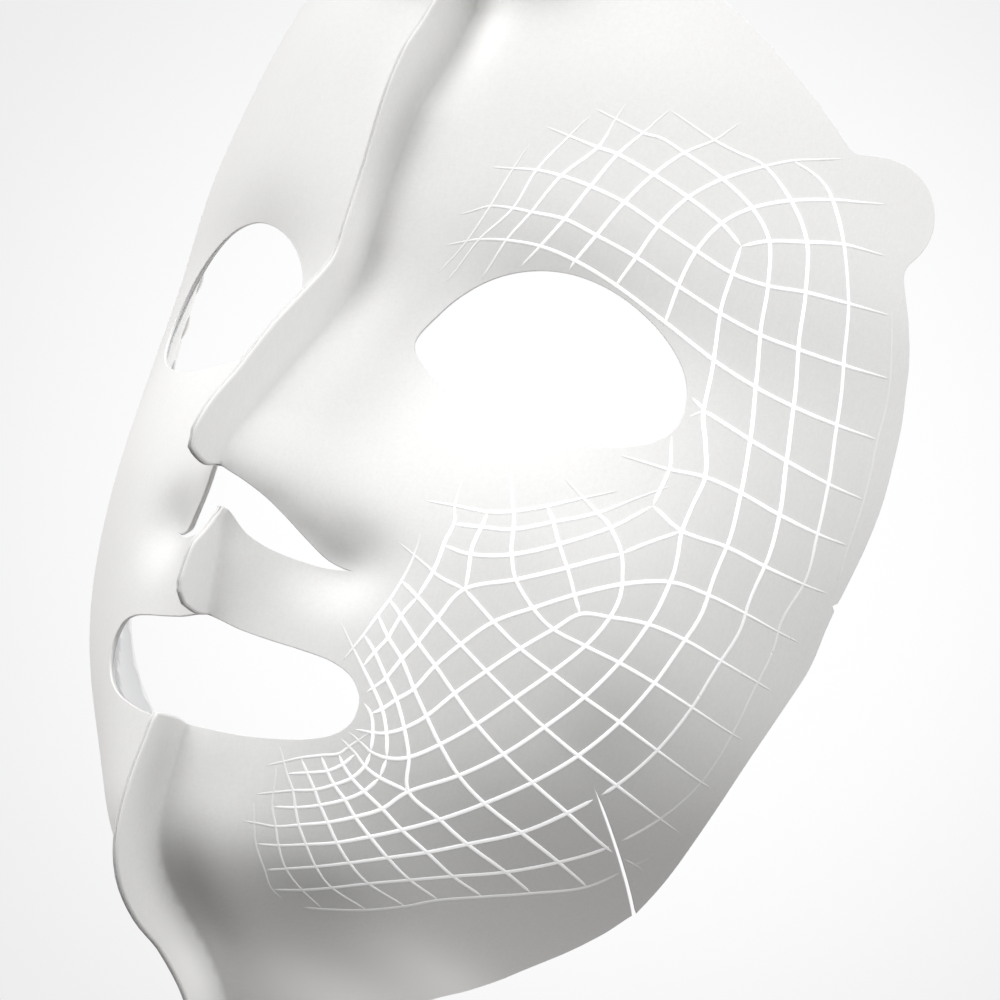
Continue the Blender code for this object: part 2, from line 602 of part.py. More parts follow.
def ribbon(name, path, width, depths, look, side, step=None, led_pitch=None, closed=False):
    """A tape along a flat path, in rows about step apart. With led_pitch, square packages that far apart stand
    on its inner side and set the rows instead."""
    line = smooth(path, 0.5, closed)
    if closed:
        line = np.vstack([line, line[:1]])
    run = run_length(line)
    total = run[-1]
    rows = led_rows(total, led_pitch) if led_pitch else np.linspace(0, total, row_count(total, step))

    def point_at(distance):
        return np.stack([np.interp(distance, run, line[:, k]) for k in (0, 1)], 1)

    centres = point_at(rows)
    ahead, behind = point_at(np.minimum(rows + 0.6, total)), point_at(np.maximum(rows - 0.6, 0))
    if closed:
        behind[0] = behind[-1]
    along = ahead - behind
    along /= np.linalg.norm(along, axis=1)[:, None]
    across = np.stack([-along[:, 1], along[:, 0]], 1)
    count = len(rows) - 1 if closed else len(rows)
    centres, across = centres[:count], across[:count]

    offsets = (-width / 2, -LED_HALF, LED_HALF, width / 2) if led_pitch else (-width / 2, width / 2)
    columns = len(offsets)
    verts = [place(centres + across * offset, depths[1], RIBBON_X) for offset in offsets]
    verts += [place(centres + across * offset, depths[0], RIBBON_X) for offset in (offsets[0], offsets[-1])]
    verts = list(np.vstack(verts))

    def inner(i, j):
        return j * count + i % count

    def outer(i, j):
        return (columns + j) * count + i % count

    faces = []
    last = columns - 1
    for i in range(count if closed else count - 1):
        for j in range(last):
            quad = (inner(i, j), inner(i, j + 1), inner(i + 1, j + 1), inner(i + 1, j))
            if led_pitch and i % 2 == 1 and j == 1:
                faces += led_package(verts, quad, centres[i:i + 2].mean(0))
            else:
                faces.append(quad)
        faces.append((outer(i, 1), outer(i, 0), outer(i + 1, 0), outer(i + 1, 1)))
        faces.append((outer(i, 0), inner(i, 0), inner(i + 1, 0), outer(i + 1, 0)))
        faces.append((inner(i, last), outer(i, 1), outer(i + 1, 1), inner(i + 1, last)))
    if not closed:
        for i in (0, count - 1):
            faces.append((outer(i, 0), *[inner(i, j) for j in range(columns)], outer(i, 1)))
    return add(name, verts, faces, look, 30, side)


# ---------------------------------------------------------------- soft pieces of both halves
# LED tapes: flat path and the distance between packages
TAPES = {
    "forehead": ([(9, 58), (24, 57), (40, 54), (55, 48.5), (67, 41)], 9.4),
    "brow": ([(9, 36), (24, 32.5), (40, 31), (56, 29), (71, 23.5)], 9.4),
    "temple": ([(80, 26), (83.5, 12), (87.5, -2), (92, -15)], 9.0),
    "under_eye": ([(26, -23), (38, -26.5), (52, -27.5), (66, -26.5), (81, -23)], 9.4),
    "cheek": ([(36, -44), (50, -45.5), (64, -44.5), (78, -41), (90, -34.5)], 9.4),
    "jaw": ([(42, -64), (51, -63.5), (60, -62), (69, -59.0)], 9.0),
    "chin": ([(9, -85.5), (24, -86.5), (40, -87), (55, -84.5), (66, -79.5)], 9.6),
}
# flat path of the bus tape
BUS = [(5.5, 66.0), (22, 63.5), (38, 58), (52, 50.5), (64, 42), (74, 33), (79.5, 26), (84, 20), (86.5, 6),
       (90.5, -8), (95, -20), (92.5, -32), (84, -43), (73, -54), (64.5, -63), (61, -74), (52, -86), (38, -95)]

COVER_REGION, LINER_REGION = cover_region(), liner_region()
# hinged pieces: name, hinge ends, cover region, pad region
HINGED = (
    ("jaw_flap", SLIT_END, FLAP_TOP, flap_region(flap_outline(0)), flap_region(flap_outline(1.5))),
    ("ear_tab", TAB_LOW, TAB_HIGH, flap_region(tab_outline(0)), flap_region(tab_outline(1.6))),
)

for side, word in ((1, "left"), (-1, "right")):
    sheet(f"cover_{word}", COVER_REGION, COVER_DEPTHS, COVER_X, SOFT, side)
    sheet(f"liner_{word}", LINER_REGION, LINER_DEPTHS, LINER_X, SILICONE, side)
    for piece, low, high, region, pad_region in HINGED:
        axis_point = hinge_point(low, high) * (side, 1, 1)
        set_origin(sheet(f"{piece}_{word}", region, COVER_DEPTHS, COVER_X, SOFT, side), axis_point)
        set_origin(sheet(f"{piece}_pad_{word}", pad_region, PAD_DEPTHS, LINER_X, SILICONE, side), axis_point)
    ribbon(f"edge_seal_{word}", seal_path(), EDGE_SEAL_WIDTH, SEAL_DEPTHS, SILICONE, side, step=7.5)
    ribbon(f"eye_seal_{word}", grown_eye(SEAL_INSET, 3.0), EYE_SEAL_WIDTH, SEAL_DEPTHS, SILICONE, side,
           step=6.0, closed=True)
    ribbon(f"bus_tape_{word}", BUS, BUS_WIDTH, BUS_DEPTHS, COPPER, side, step=8.5)
    for tape, (path, pitch) in TAPES.items():
        ribbon(f"led_tape_{tape}_{word}", path, TAPE_WIDTH, TAPE_DEPTHS, TAPE, side, led_pitch=pitch)


# ---------------------------------------------------------------- weld film inside the fin
def film(name, z_top, z_low):
    """Bonding film between the two flanges."""
    z = np.linspace(z_top, z_low, row_count(z_top - z_low, 6.0))
    root = np.stack(fin_points(z, -FILM_ROOT), 1)
    edge = np.stack(fin_points(z, fin_width_at(z) - FILM_MARGIN), 1)
    verts = [(x, *point) for x in (-FILM_HALF, FILM_HALF) for point in np.vstack([root, edge])]
    n = len(z)
    faces = []
    for i in range(n - 1):
        a, b, c, d = i, i + 1, n + i + 1, n + i
        faces += [(a, b, c, d), (2 * n + d, 2 * n + c, 2 * n + b, 2 * n + a), (a, 2 * n + a, 2 * n + b, b),
                  (d, c, 2 * n + c, 2 * n + d)]
    faces += [(0, n, 3 * n, 2 * n), (n - 1, 3 * n - 1, 4 * n - 1, 2 * n - 1)]
    add(name, verts, faces, SEAM, 30)


film("seam_film_upper", FIN_TOP_Z - 0.6, -30.0)
film("seam_film_lip", -38.9, -54.2)
film("seam_film_chin", -75.6, -120.0)

# ---------------------------------------------------------------- control pod
# The pod's frame is (across, up, out): across is +X, up follows the forehead, out is square to it.
POD_Z = 70.0
POD_HALF_WIDTH, POD_HALF_HEIGHT, POD_CORNER = 20.0, 7.2, 3.4
BASE_OUT, FRONT_OUT, WALL = 2.0, 7.6, 1.0      # out of the base's front and the cover's front
BASE_INSET = 0.8           # base inside the cover's outline
SKIN_GAP = 0.45            # base off the mask
BUTTON_HOLE_RADIUS, BUTTON_RADIUS, BUTTON_RIM_RADIUS, STEM_RADIUS = 4.3, 3.95, 5.0, 1.2
LIGHT_ACROSS, LIGHT_HOLE_RADIUS, LENS_RADIUS = 8.5, 0.95, 0.7
BATTERY_ACROSS, SOCKET_ACROSS = 11.4, -15.1
LID_ACROSS = -POD_HALF_WIDTH - 0.35            # inner face of the port flap


def crease_point(z):
    return np.array([0.0, float(np.interp(z, HEIGHTS, CREASE_Y)), z])


POD_UP = crease_point(POD_Z + 5) - crease_point(POD_Z - 5)
POD_UP /= np.linalg.norm(POD_UP)
POD_ORIGIN, POD_OUT = crease_point(POD_Z), np.array([0, -POD_UP[2], POD_UP[1]])
POD_FRAME = np.array([[1, 0, 0], POD_UP, POD_OUT])


def pod(points):
    """Pod-frame points to the design frame."""
    return POD_ORIGIN + np.asarray(points, float) @ POD_FRAME


def skin_out(across, up):
    """How far out the mask surface is, in the pod's frame."""
    out = 0.0
    for _ in range(6):
        z = POD_ORIGIN[2] + up * POD_UP[2] + out * POD_OUT[2]
        level = np.interp(z, HEIGHTS, np.arange(len(HEIGHTS)))
        k = int(level)
        row = SURFACE[k] * (1 - level + k) + SURFACE[k + 1] * (level - k)
        y = np.interp(abs(across), row[:, 0], row[:, 1])
        out = (y - POD_ORIGIN[1] - up * POD_UP[1]) / POD_OUT[1]
    return out


def rounded(half_across, half_up, radius, segments=4):
    """Rounded rectangle, anticlockwise seen from outside."""
    x, y = half_across - radius, half_up - radius
    points = []
    for mid_x, mid_y, start in ((x, y, 0), (-x, y, 90), (-x, -y, 180), (x, -y, 270)):
        for i in range(segments + 1):
            angle = math.radians(start + 90 * i / segments)
            points.append((mid_x + radius * math.cos(angle), mid_y + radius * math.sin(angle)))
    return points


def disc(radius, across=0, segments=24):
    angles = [2 * math.pi * i / segments for i in range(segments)]
    return [(across + radius * math.cos(angle), radius * math.sin(angle)) for angle in angles]


def ring(shape, out):
    return [(across, up, out) for across, up in shape]


def prism(shape, back, front):
    """Rings of a straight solid between two out values."""
    return [ring(shape, back), ring(shape, front)]


def box(across, up, out):
    """Rings of a box from its (low, high) limits."""
    shape = [(across[1], up[1]), (across[0], up[1]), (across[0], up[0]), (across[1], up[0])]
    return prism(shape, *out)


def stack(name, rings, look, across=0):
    """A solid lofted through rings of pod-frame points, closed at both ends and then moved across."""
    n = len(rings[0])
    faces = []
    for k in range(len(rings) - 1):
        faces += [(k * n + i, k * n + (i + 1) % n, (k + 1) * n + (i + 1) % n, (k + 1) * n + i)
                  for i in range(n)]
    faces += [tuple(range(n))[::-1], tuple((len(rings) - 1) * n + i for i in range(n))]
    made = add(name, pod(np.vstack(rings)), faces, look, 35)
    made.location.x = across * MM
    return made


def cut(body, name, rings, across=0):
    """Cuts a hole with a hidden tool of the same name as its modifier."""
    tool = stack(name, rings, SHELL, across)
    tool.hide_render = True
    tool.display_type = "WIRE"
    modifier = body.modifiers.new(name, "BOOLEAN")
    modifier.operation = "DIFFERENCE"
    modifier.solver = "EXACT"
    modifier.object = tool


def pod_base():
    """The base: its back is moulded to the forehead, its front is flat and faces the board."""
    half_across, half_up = POD_HALF_WIDTH - BASE_INSET, POD_HALF_HEIGHT - BASE_INSET
    acrosses, ups = np.linspace(-half_across, half_across, 11), np.linspace(-half_up, half_up, 4)
    back = [(across, up, skin_out(across, up) + SKIN_GAP) for up in ups for across in acrosses]
    front = [(across, up, BASE_OUT) for up in ups for across in acrosses]
    wide, high = len(acrosses), len(ups)
    count = wide * high
    faces = []
    for j in range(high - 1):
        for i in range(wide - 1):
            quad = (j * wide + i, j * wide + i + 1, (j + 1) * wide + i + 1, (j + 1) * wide + i)
            faces += [quad[::-1], tuple(k + count for k in quad)]
    border = [*range(wide), *[j * wide + wide - 1 for j in range(1, high)],
              *[(high - 1) * wide + i for i in range(wide - 2, -1, -1)],
              *[j * wide for j in range(high - 2, 0, -1)]]
    for here, following in zip(border, border[1:] + border[:1]):
        faces.append((here, following, following + count, here + count))
    base = add("pod_base", pod(back + front), faces, SHELL, 30)
    cut(base, "tail_slot", box(across=(-3.8, 3.8), up=(0.4, 2.6), out=(-6, 6)))


def pod_cover():
    outline = rounded(POD_HALF_WIDTH, POD_HALF_HEIGHT, POD_CORNER)
    cover = stack("pod_cover", [
        ring(outline, BASE_OUT + 0.3), ring(outline, FRONT_OUT - 1.2),
        ring(rounded(POD_HALF_WIDTH - 0.35, POD_HALF_HEIGHT - 0.35, 3.1), FRONT_OUT - 0.5),
        ring(rounded(POD_HALF_WIDTH - 1.2, POD_HALF_HEIGHT - 1.2, 2.3), FRONT_OUT)], SHELL)
    hollow = rounded(POD_HALF_WIDTH - WALL, POD_HALF_HEIGHT - WALL, POD_CORNER - WALL)
    cut(cover, "pod_hollow", prism(hollow, BASE_OUT - 2, FRONT_OUT - WALL))
    cut(cover, "button_hole", prism(disc(BUTTON_HOLE_RADIUS), 3, 12))
    cut(cover, "light_hole", prism(disc(LIGHT_HOLE_RADIUS, LIGHT_ACROSS, 12), 3, 12))
    cut(cover, "port_hole", box(across=(-POD_HALF_WIDTH - 4, -POD_HALF_WIDTH + 2), up=(-4.7, 4.7),
                                out=(3.1, 6.3)))


def electronics():
    stack("driver_board", box(across=(-17.8, 17.6), up=(-5.6, 5.6), out=(2.55, 3.15)), BOARD)
    stack("battery", prism(rounded(6.0, 4.6, 1.0, 3), 3.5, 6.2), CELL, BATTERY_ACROSS)
    socket = stack("charge_socket", prism(rounded(3.4, 4.3, 0.6, 2), 3.4, 6.15), METAL, SOCKET_ACROSS)
    cut(socket, "socket_mouth", box(across=(-6.0, 2.2), up=(-3.6, 3.6), out=(4.0, 5.55)), SOCKET_ACROSS)


def power_button():
    """A cap through the front with a wider rim inside and a stem over the switch on the board."""
    # radius and out of each ring, from the stem's end to the cap's front
    profile = [(STEM_RADIUS, 4.35), (STEM_RADIUS, 4.9), (BUTTON_RIM_RADIUS, 4.9), (BUTTON_RIM_RADIUS, 5.7),
               (BUTTON_RADIUS, 5.7), (BUTTON_RADIUS, 7.8), (3.5, 8.1)]
    button = stack("power_button", [ring(disc(radius), out) for radius, out in profile], SHELL)
    set_origin(button, POD_ORIGIN)
    stack("button_switch", prism(rounded(1.9, 1.9, 0.4, 2), 3.3, 3.65), METAL)


def port_flap():
    """A silicone lid over the socket with a lip that plugs the mouth, hinged along its back edge."""
    # across from the lid's inner face, half height, out limits, corner radius
    sections = [(-1.15, 4.9, 3.0, 6.4, 0.5), (-0.8, 5.3, 2.6, 6.8, 0.9), (0, 5.3, 2.6, 6.8, 0.9),
                (0, 3.8, 3.7, 5.8, 0.6), (0.8, 3.6, 3.9, 5.6, 0.6)]
    rings = []
    for offset, half_up, back, front, radius in sections:
        shape = rounded(half_up, (front - back) / 2, radius, 3)
        rings.append([(LID_ACROSS + offset, up, (back + front) / 2 + out) for up, out in shape])
    flap = stack("port_flap", rings, SILICONE)
    set_origin(flap, pod([(LID_ACROSS - 0.4, 0, 2.4)])[0])


def ribbon_cable():
    """Flat cable from behind the mask's cover, through the slot, to the back of the board."""
    # (up, out) outline
    profile = [(-6.2, -1.40), (1.30, -1.40), (1.30, 2.36), (-4.4, 2.36), (-4.4, 2.14), (1.06, 2.14),
               (1.06, -1.18), (-6.2, -1.18)]
    stack("ribbon_cable", [[(across, up, out) for up, out in profile] for across in (-3.0, 3.0)], COPPER)


pod_base()
pod_cover()
electronics()
power_button()
stack("status_lens", prism(disc(LENS_RADIUS, LIGHT_ACROSS, 12), 6.5, 7.75), LENS)
port_flap()
ribbon_cable()
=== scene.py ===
"""Looks of a soft LED face mask, fitted over its CAD frame.

The design frame is in mm: x = 0 is the plane between the two mirrored halves, +x the wearer's left,
-y the front, +z up. Panels are drawn in a flat pattern (across, z): across is the distance round the
level section from the crease at x = 0, and below 0 it is the fin standing forward from the crease.
Meshes are in metres, about the middle of the mask's box.
"""

import json
import math

import bmesh
import bpy
import numpy as np
from collections import namedtuple
from mathutils import Matrix, Vector, geometry


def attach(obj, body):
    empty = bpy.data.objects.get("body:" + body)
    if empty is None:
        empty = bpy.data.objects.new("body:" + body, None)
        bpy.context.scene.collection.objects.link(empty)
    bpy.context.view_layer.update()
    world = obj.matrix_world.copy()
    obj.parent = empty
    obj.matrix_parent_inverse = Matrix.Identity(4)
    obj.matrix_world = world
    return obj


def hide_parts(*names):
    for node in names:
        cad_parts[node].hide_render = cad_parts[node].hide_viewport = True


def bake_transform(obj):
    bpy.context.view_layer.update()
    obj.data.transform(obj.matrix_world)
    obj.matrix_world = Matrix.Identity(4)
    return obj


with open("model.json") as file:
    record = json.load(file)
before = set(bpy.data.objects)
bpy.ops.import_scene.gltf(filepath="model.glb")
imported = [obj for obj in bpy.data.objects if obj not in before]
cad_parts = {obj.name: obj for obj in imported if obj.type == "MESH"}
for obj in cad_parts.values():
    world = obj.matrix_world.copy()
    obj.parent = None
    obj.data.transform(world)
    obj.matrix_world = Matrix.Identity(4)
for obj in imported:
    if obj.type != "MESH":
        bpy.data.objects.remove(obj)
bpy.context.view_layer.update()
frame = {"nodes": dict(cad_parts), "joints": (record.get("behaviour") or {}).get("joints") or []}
MM = 0.001
CENTRE = np.array([0.0, 13.325, -23.337])       # middle of the mask's box in the design frame
HALVES = ((1, "left"), (-1, "right"))

# ================================================================= master surface
# (z, value) stations, mm
HALF_WIDTH = [(80, 75.5), (50, 84.5), (20, 92), (-10, 93), (-40, 86), (-70, 70), (-95, 43), (-115, 32)]
DEPTH = [(80, 63), (50, 73.5), (20, 76), (-10, 79), (-40, 81.5), (-70, 79.5), (-95, 73.5), (-115, 55.5)]
FRONT = [(95, 24), (80, 17), (65, 12), (50, 7.5), (35, 5.3), (20, 4.4), (5, 4.3), (-10, 1.9),
         (-25, -1.6), (-40, -4.9), (-55, -7.6), (-70, -9.5), (-85, -11), (-94, -9.8), (-100, -5),
         (-106, 3.6), (-113, 12.5), (-120, 18.3)]
NOSE = [(30, 0), (20, 0.3), (12, 1.5), (4, 4), (-4, 8.5), (-14, 14), (-22, 17.2), (-28, 18.2),
        (-33, 16), (-38, 11.5), (-46, 8), (-56, 5), (-66, 2.5), (-80, 0.5), (-90, 0)]
NOSE_HALF = [(30, 14), (12, 12), (0, 13), (-14, 15.5), (-28, 19), (-34, 21), (-42, 24), (-60, 28),
             (-80, 30)]
FIN_WIDTH = [(62, 8.0), (56, 8.3), (49, 9.2), (42, 9.5), (34.5, 7.9), (26.5, 7.0), (20, 6.6),
             (13.5, 6.8), (8, 6.9), (1, 7.4), (-9.5, 7.7), (-20, 7.2), (-28.8, 7.1), (-31.2, 2.4),
             (-34, 1.2), (-38.4, 1.0), (-42, 3.7), (-45, 5.9), (-48.5, 6.8), (-51.2, 7.3),
             (-53.8, 5.6), (-60, 6.5), (-74.3, 7.4), (-83, 8.6), (-89, 9.2), (-95, 9.8),
             (-100.4, 9.0), (-105, 7.8), (-110, 7.8), (-121, 8.4)]
# how far the seam sits back from the panels' own section
SEAM_SET = [(62.8, 0), (60.8, 0.5), (58, 2.2), (54.5, 3.5), (49, 3.4), (41, 1.5), (35, -0.3),
            (27, -0.9), (20, -1.2), (14, -0.8), (8.5, 0.2), (1.5, 1.3), (-9.5, 2.1), (-19, 2.4),
            (-26, 1.4), (-31, 0.4), (-37, 0)]
SEAM_HALF = 8.0         # half width of the valley beside the seam
ROUNDNESS = 1.736       # exponent of the level section's superellipse
# local dents (+) and swells (-) of the surface: (x, z), reach in x and z, amount in y
PANEL_SWELLS = [((33, 2), (17, 13), 4.5), ((42, -32), (20, 22), -3.0)]
NOSTRIL_DENT = ((20, -42.8), (7, 6.2), 3.2)

FIN_TOP_Z = 61.5
FIN_SPANS = [(-31.5, FIN_TOP_Z), (-55.8, -38.2), (-math.inf, -74.0)]    # z ranges that have a fin
FILLET = 0.9            # reach of the eased corner between fin and panel
GRID = 0.5              # spacing of the surface table
ZS, RUNS = np.arange(-128, 92.1, GRID), np.arange(0, 125.1, GRID)


def spline(stations):
    """Natural cubic spline through (place, value) stations, straight beyond its ends."""
    places, values = (np.array(v, float) for v in zip(*sorted(stations)))
    count, gaps, rises = len(places), np.diff(places), np.diff(values)
    system, target = np.eye(count), np.zeros(count)
    for i in range(1, count - 1):
        system[i, i - 1 : i + 2] = gaps[i - 1], 2 * (gaps[i - 1] + gaps[i]), gaps[i]
        target[i] = 3 * (rises[i] / gaps[i] - rises[i - 1] / gaps[i - 1])
    square = np.linalg.solve(system, target)
    slope = rises / gaps - gaps * (2 * square[:-1] + square[1:]) / 3
    cube = np.diff(square) / (3 * gaps)
    end_slope = slope[-1] + 2 * square[-2] * gaps[-1] + 3 * cube[-1] * gaps[-1] ** 2

    def value(x):
        x = np.asarray(x, float)
        i = np.clip(np.searchsorted(places, x) - 1, 0, count - 2)
        step = np.clip(x, places[0], places[-1]) - places[i]
        y = values[i] + slope[i] * step + square[i] * step * step + cube[i] * step**3
        return (y + np.where(x < places[0], slope[0] * (x - places[0]), 0)
                + np.where(x > places[-1], end_slope * (x - places[-1]), 0))

    return value


def eased(stations):
    """Smooth curve through (place, value) stations that never overshoots them."""
    places, values = (np.array(v, float) for v in zip(*sorted(stations)))
    gaps = np.diff(places)
    rises = np.diff(values) / gaps
    before, after = rises[:-1], rises[1:]
    total = before + after
    mean = 2 * before * after / np.where(total == 0, 1, total)
    slopes = np.concatenate([rises[:1], np.where(before * after > 0, mean, 0), rises[-1:]])

    def value(x):
        x = np.clip(np.asarray(x, float), places[0], places[-1])
        i = np.clip(np.searchsorted(places, x) - 1, 0, len(places) - 2)
        part = (x - places[i]) / gaps[i]
        rest = 1 - part
        return (values[i] * (1 + 2 * part) * rest**2 + slopes[i] * gaps[i] * part * rest**2
                + values[i + 1] * part * part * (3 - 2 * part)
                - slopes[i + 1] * gaps[i] * part * part * rest)

    return value


def swell(x, z, centre, reach, amount):
    """A soft hill of the given amount at centre."""
    return amount * np.exp(-(((x - centre[0]) / reach[0]) ** 2) - ((z - centre[1]) / reach[1]) ** 2)


def soften(line, times):
    """Smooths a line in place, its ends held."""
    for _ in range(times):
        line[1:-1] = (line[:-2] + 2 * line[1:-1] + line[2:]) / 4


half_width_at, depth_at, front_at = spline(HALF_WIDTH), spline(DEPTH), spline(FRONT)
nose_at, nose_half_at = spline(NOSE), spline(NOSE_HALF)
fin_at, seam_at = eased(FIN_WIDTH), eased(SEAM_SET)


def level_section(z):
    """The surface's x and y at height z, at each distance in RUNS from the midline."""
    angle = np.radians(np.linspace(0, 118, 900))
    x = half_width_at(z) * np.sin(angle)
    cosine = np.cos(angle)
    y = front_at(z) + depth_at(z) * (1 - np.sign(cosine) * np.abs(cosine) ** (2 / ROUNDNESS))
    y -= max(float(nose_at(z)), 0) * np.exp(-1.6 * (x / nose_half_at(z)) ** 1.25)
    for entry in PANEL_SWELLS:
        y += swell(x, z, *entry)
    run = np.concatenate([[0], np.cumsum(np.hypot(np.diff(x), np.diff(y)))])
    y += seam_at(z) * np.exp(-((x / SEAM_HALF) ** 2))
    y += swell(x, z, *NOSTRIL_DENT)
    return np.interp(RUNS, run, x), np.interp(RUNS, run, y)


sections = np.array([level_section(z) for z in ZS])
TABLE = np.stack([sections[:, 0], sections[:, 1], np.repeat(ZS[:, None], len(RUNS), 1)], -1)
_cross = np.cross(np.gradient(TABLE, GRID, axis=1), np.gradient(TABLE, GRID, axis=0))
NORMAL = _cross / np.maximum(np.linalg.norm(_cross, axis=-1, keepdims=True), 1e-9)
CREASE_Y = TABLE[:, 0, 1]
CREASE_SLOPE = np.gradient(CREASE_Y, GRID)
soften(CREASE_SLOPE, 24)


def lookup(table, run, z):
    """Bilinear reading of a table at distances run and heights z."""
    row = np.clip((np.asarray(z, float) - ZS[0]) / GRID, 0, len(ZS) - 1.001)
    col = np.clip(np.asarray(run, float) / GRID, 0, len(RUNS) - 1.001)
    i, j = row.astype(int), col.astype(int)
    up, over = (row - i)[..., None], (col - j)[..., None]
    return (table[i, j] * (1 - up) * (1 - over) + table[i + 1, j] * up * (1 - over)
            + table[i, j + 1] * (1 - up) * over + table[i + 1, j + 1] * up * over)


_starts = {}


def layer_starts(depth, x_min):
    """For each height, the distance round the section at which a layer reaches x_min."""
    key = (round(depth, 3), round(x_min, 3))
    if key not in _starts:
        found = []
        for row in (TABLE[..., 0] - NORMAL[..., 0] * depth)[:, :80]:
            low = np.nonzero(row < x_min)[0]
            k = low[-1] if len(low) else 0
            step = (x_min - row[k]) / max(row[k + 1] - row[k], 1e-6) if len(low) else 0
            found.append((k + step) * GRID)
        found = np.array(found)
        for _ in range(16):
            mean = (found[:-2] + 2 * found[1:-1] + found[2:]) / 4
            found[1:-1] = np.maximum(found[1:-1], mean)
        _starts[key] = found
    return _starts[key]


def place(flat, depth, x_min):
    """Flat-pattern points to 3D, on the layer depth mm under the surface and no nearer x = 0 than x_min."""
    flat = np.asarray(flat, float)
    depth = np.broadcast_to(np.asarray(depth, float), flat.shape[:1])
    across, z = flat.T
    if np.ptp(depth) < 1e-9:
        first = np.interp(z, ZS, layer_starts(float(depth[0]), x_min))
    else:
        levels = np.linspace(depth.min(), depth.max(), 5)
        starts = np.array([np.interp(z, ZS, layer_starts(float(level), x_min)) for level in levels])
        level = (depth - levels[0]) / (levels[1] - levels[0])
        k = np.clip(level.astype(int), 0, 3)
        i = np.arange(len(z))
        first = starts[k, i] * (1 - (level - k)) + starts[k + 1, i] * (level - k)
    on_panel = np.maximum(across, 0)
    run = on_panel + first * np.clip(1 - on_panel / 18.0, 0, 1)
    points = lookup(TABLE, run, z) - lookup(NORMAL, run, z) * depth[:, None]
    points[:, 0] = np.where(across <= 1e-6, x_min, points[:, 0])
    out = np.maximum(-across, 0)
    y, slope = np.interp(z, ZS, CREASE_Y), np.interp(z, ZS, CREASE_SLOPE)
    forward = out / np.sqrt(1 + slope * slope)
    on_fin = np.stack([np.full_like(z, x_min), y - forward, z + forward * slope], -1)
    return np.where((out > 0)[:, None], on_fin, points)


def filleted(flat, depth, x_min):
    """place(), with the inner corner between the fin and the panel eased over."""
    flat = np.asarray(flat, float)
    across, z = flat.T
    has_fin = np.any([(z > low) & (z < high) for low, high in FIN_SPANS], axis=0)
    points = place(flat, depth, x_min)
    near = np.abs(across) < FILLET * 1.02
    if not near.any():
        return points
    fin = np.where(has_fin, fin_at(z), 0.0)[near]
    reach = FILLET - np.abs(across[near])
    reach = np.clip(np.minimum(reach, fin + across[near] - 0.05), 0, None)
    offsets = np.linspace(-1, 1, 9)
    weights = np.cos(offsets * math.pi / 2.25)
    weights = weights / weights.sum()
    near_depth = np.broadcast_to(np.asarray(depth, float), flat.shape[:1])[near]
    total = np.zeros((len(reach), 3))
    for offset, weight in zip(offsets, weights):
        moved = flat[near]
        moved[:, 0] += offset * reach
        total += weight * place(moved, near_depth, x_min)
    points[near] = total
    return points


# ================================================================= flat lines
def run_along(line):
    """Distance along a line at each of its points."""
    return np.concatenate([[0], np.cumsum(np.linalg.norm(np.diff(line, axis=0), axis=1))])


def points_at(distance, run, line):
    return np.stack([np.interp(distance, run, line[:, k]) for k in (0, 1)], -1)


def resample(line, step, closed=False):
    """The line with evenly spaced points about step apart."""
    line = np.asarray(line, float)
    run = run_along(line)
    count = max(2, int(round(run[-1] / step)))
    distances = np.linspace(0, run[-1], count + 1)
    return points_at(distances[:-1] if closed else distances, run, line)


def smooth(points, step, closed=False):
    """Catmull-Rom curve through the points, resampled."""
    knots = [np.array(p, float) for p in points]
    if closed:
        knots = [knots[-1], *knots, knots[0], knots[1]]
    else:
        knots = [2 * knots[0] - knots[1], *knots, 2 * knots[-1] - knots[-2]]
    out = []
    for before, start, end, after in zip(knots, knots[1:], knots[2:], knots[3:]):
        for part in np.linspace(0, 1, 16, endpoint=False):
            out.append(0.5 * (2 * start + (end - before) * part
                              + (2 * before - 5 * start + 4 * end - after) * part**2
                              + (3 * start - before - 3 * end + after) * part**3))
    out.append(knots[-2])
    return resample(np.array(out), step, closed)


def distance_to(points, loop, closed=True):
    """Distance from each point to a loop or open line."""
    starts = loop if closed else loop[:-1]
    sides = (np.roll(loop, -1, 0) if closed else loop[1:]) - starts
    best = np.full(len(points), 1e9)
    for k in range(0, len(points), 4000):
        offset = points[k : k + 4000, None, :] - starts[None]
        part = np.clip((offset * sides).sum(-1) / np.maximum((sides * sides).sum(-1), 1e-12), 0, 1)
        best[k : k + 4000] = np.linalg.norm(offset - part[..., None] * sides, axis=-1).min(1)
    return best


def inside(points, loop):
    """Which points lie inside a closed loop."""
    out = np.zeros(len(points), bool)
    x0, y0 = loop[:, 0], loop[:, 1]
    x1, y1 = np.roll(x0, -1), np.roll(y0, -1)
    height = np.where(y1 == y0, 1e-12, y1 - y0)
    for k in range(0, len(points), 4000):
        x, y = points[k : k + 4000, 0][:, None], points[k : k + 4000, 1][:, None]
        cross = ((y0 > y) != (y1 > y)) & (x < (x1 - x0) * (y - y0) / height + x0)
        out[k : k + 4000] = cross.sum(1) % 2 == 1
    return out


def counterclockwise(loop):
    x, y = loop.T
    return loop if (x * np.roll(y, -1) - y * np.roll(x, -1)).sum() > 0 else loop[::-1]


def outward(loop):
    """Unit normals pointing right of travel at each point of a closed loop."""
    along = np.roll(loop, -1, 0) - np.roll(loop, 1, 0)
    along /= np.maximum(np.linalg.norm(along, axis=1), 1e-9)[:, None]
    return np.stack([along[:, 1], -along[:, 0]], 1)


def tidy(loop, gap=0.15):
    """The loop without points closer than gap to the one before."""
    return loop[np.linalg.norm(loop - np.roll(loop, 1, 0), axis=1) > gap]


def unit(vector):
    vector = np.asarray(vector, float)
    return vector / np.linalg.norm(vector)


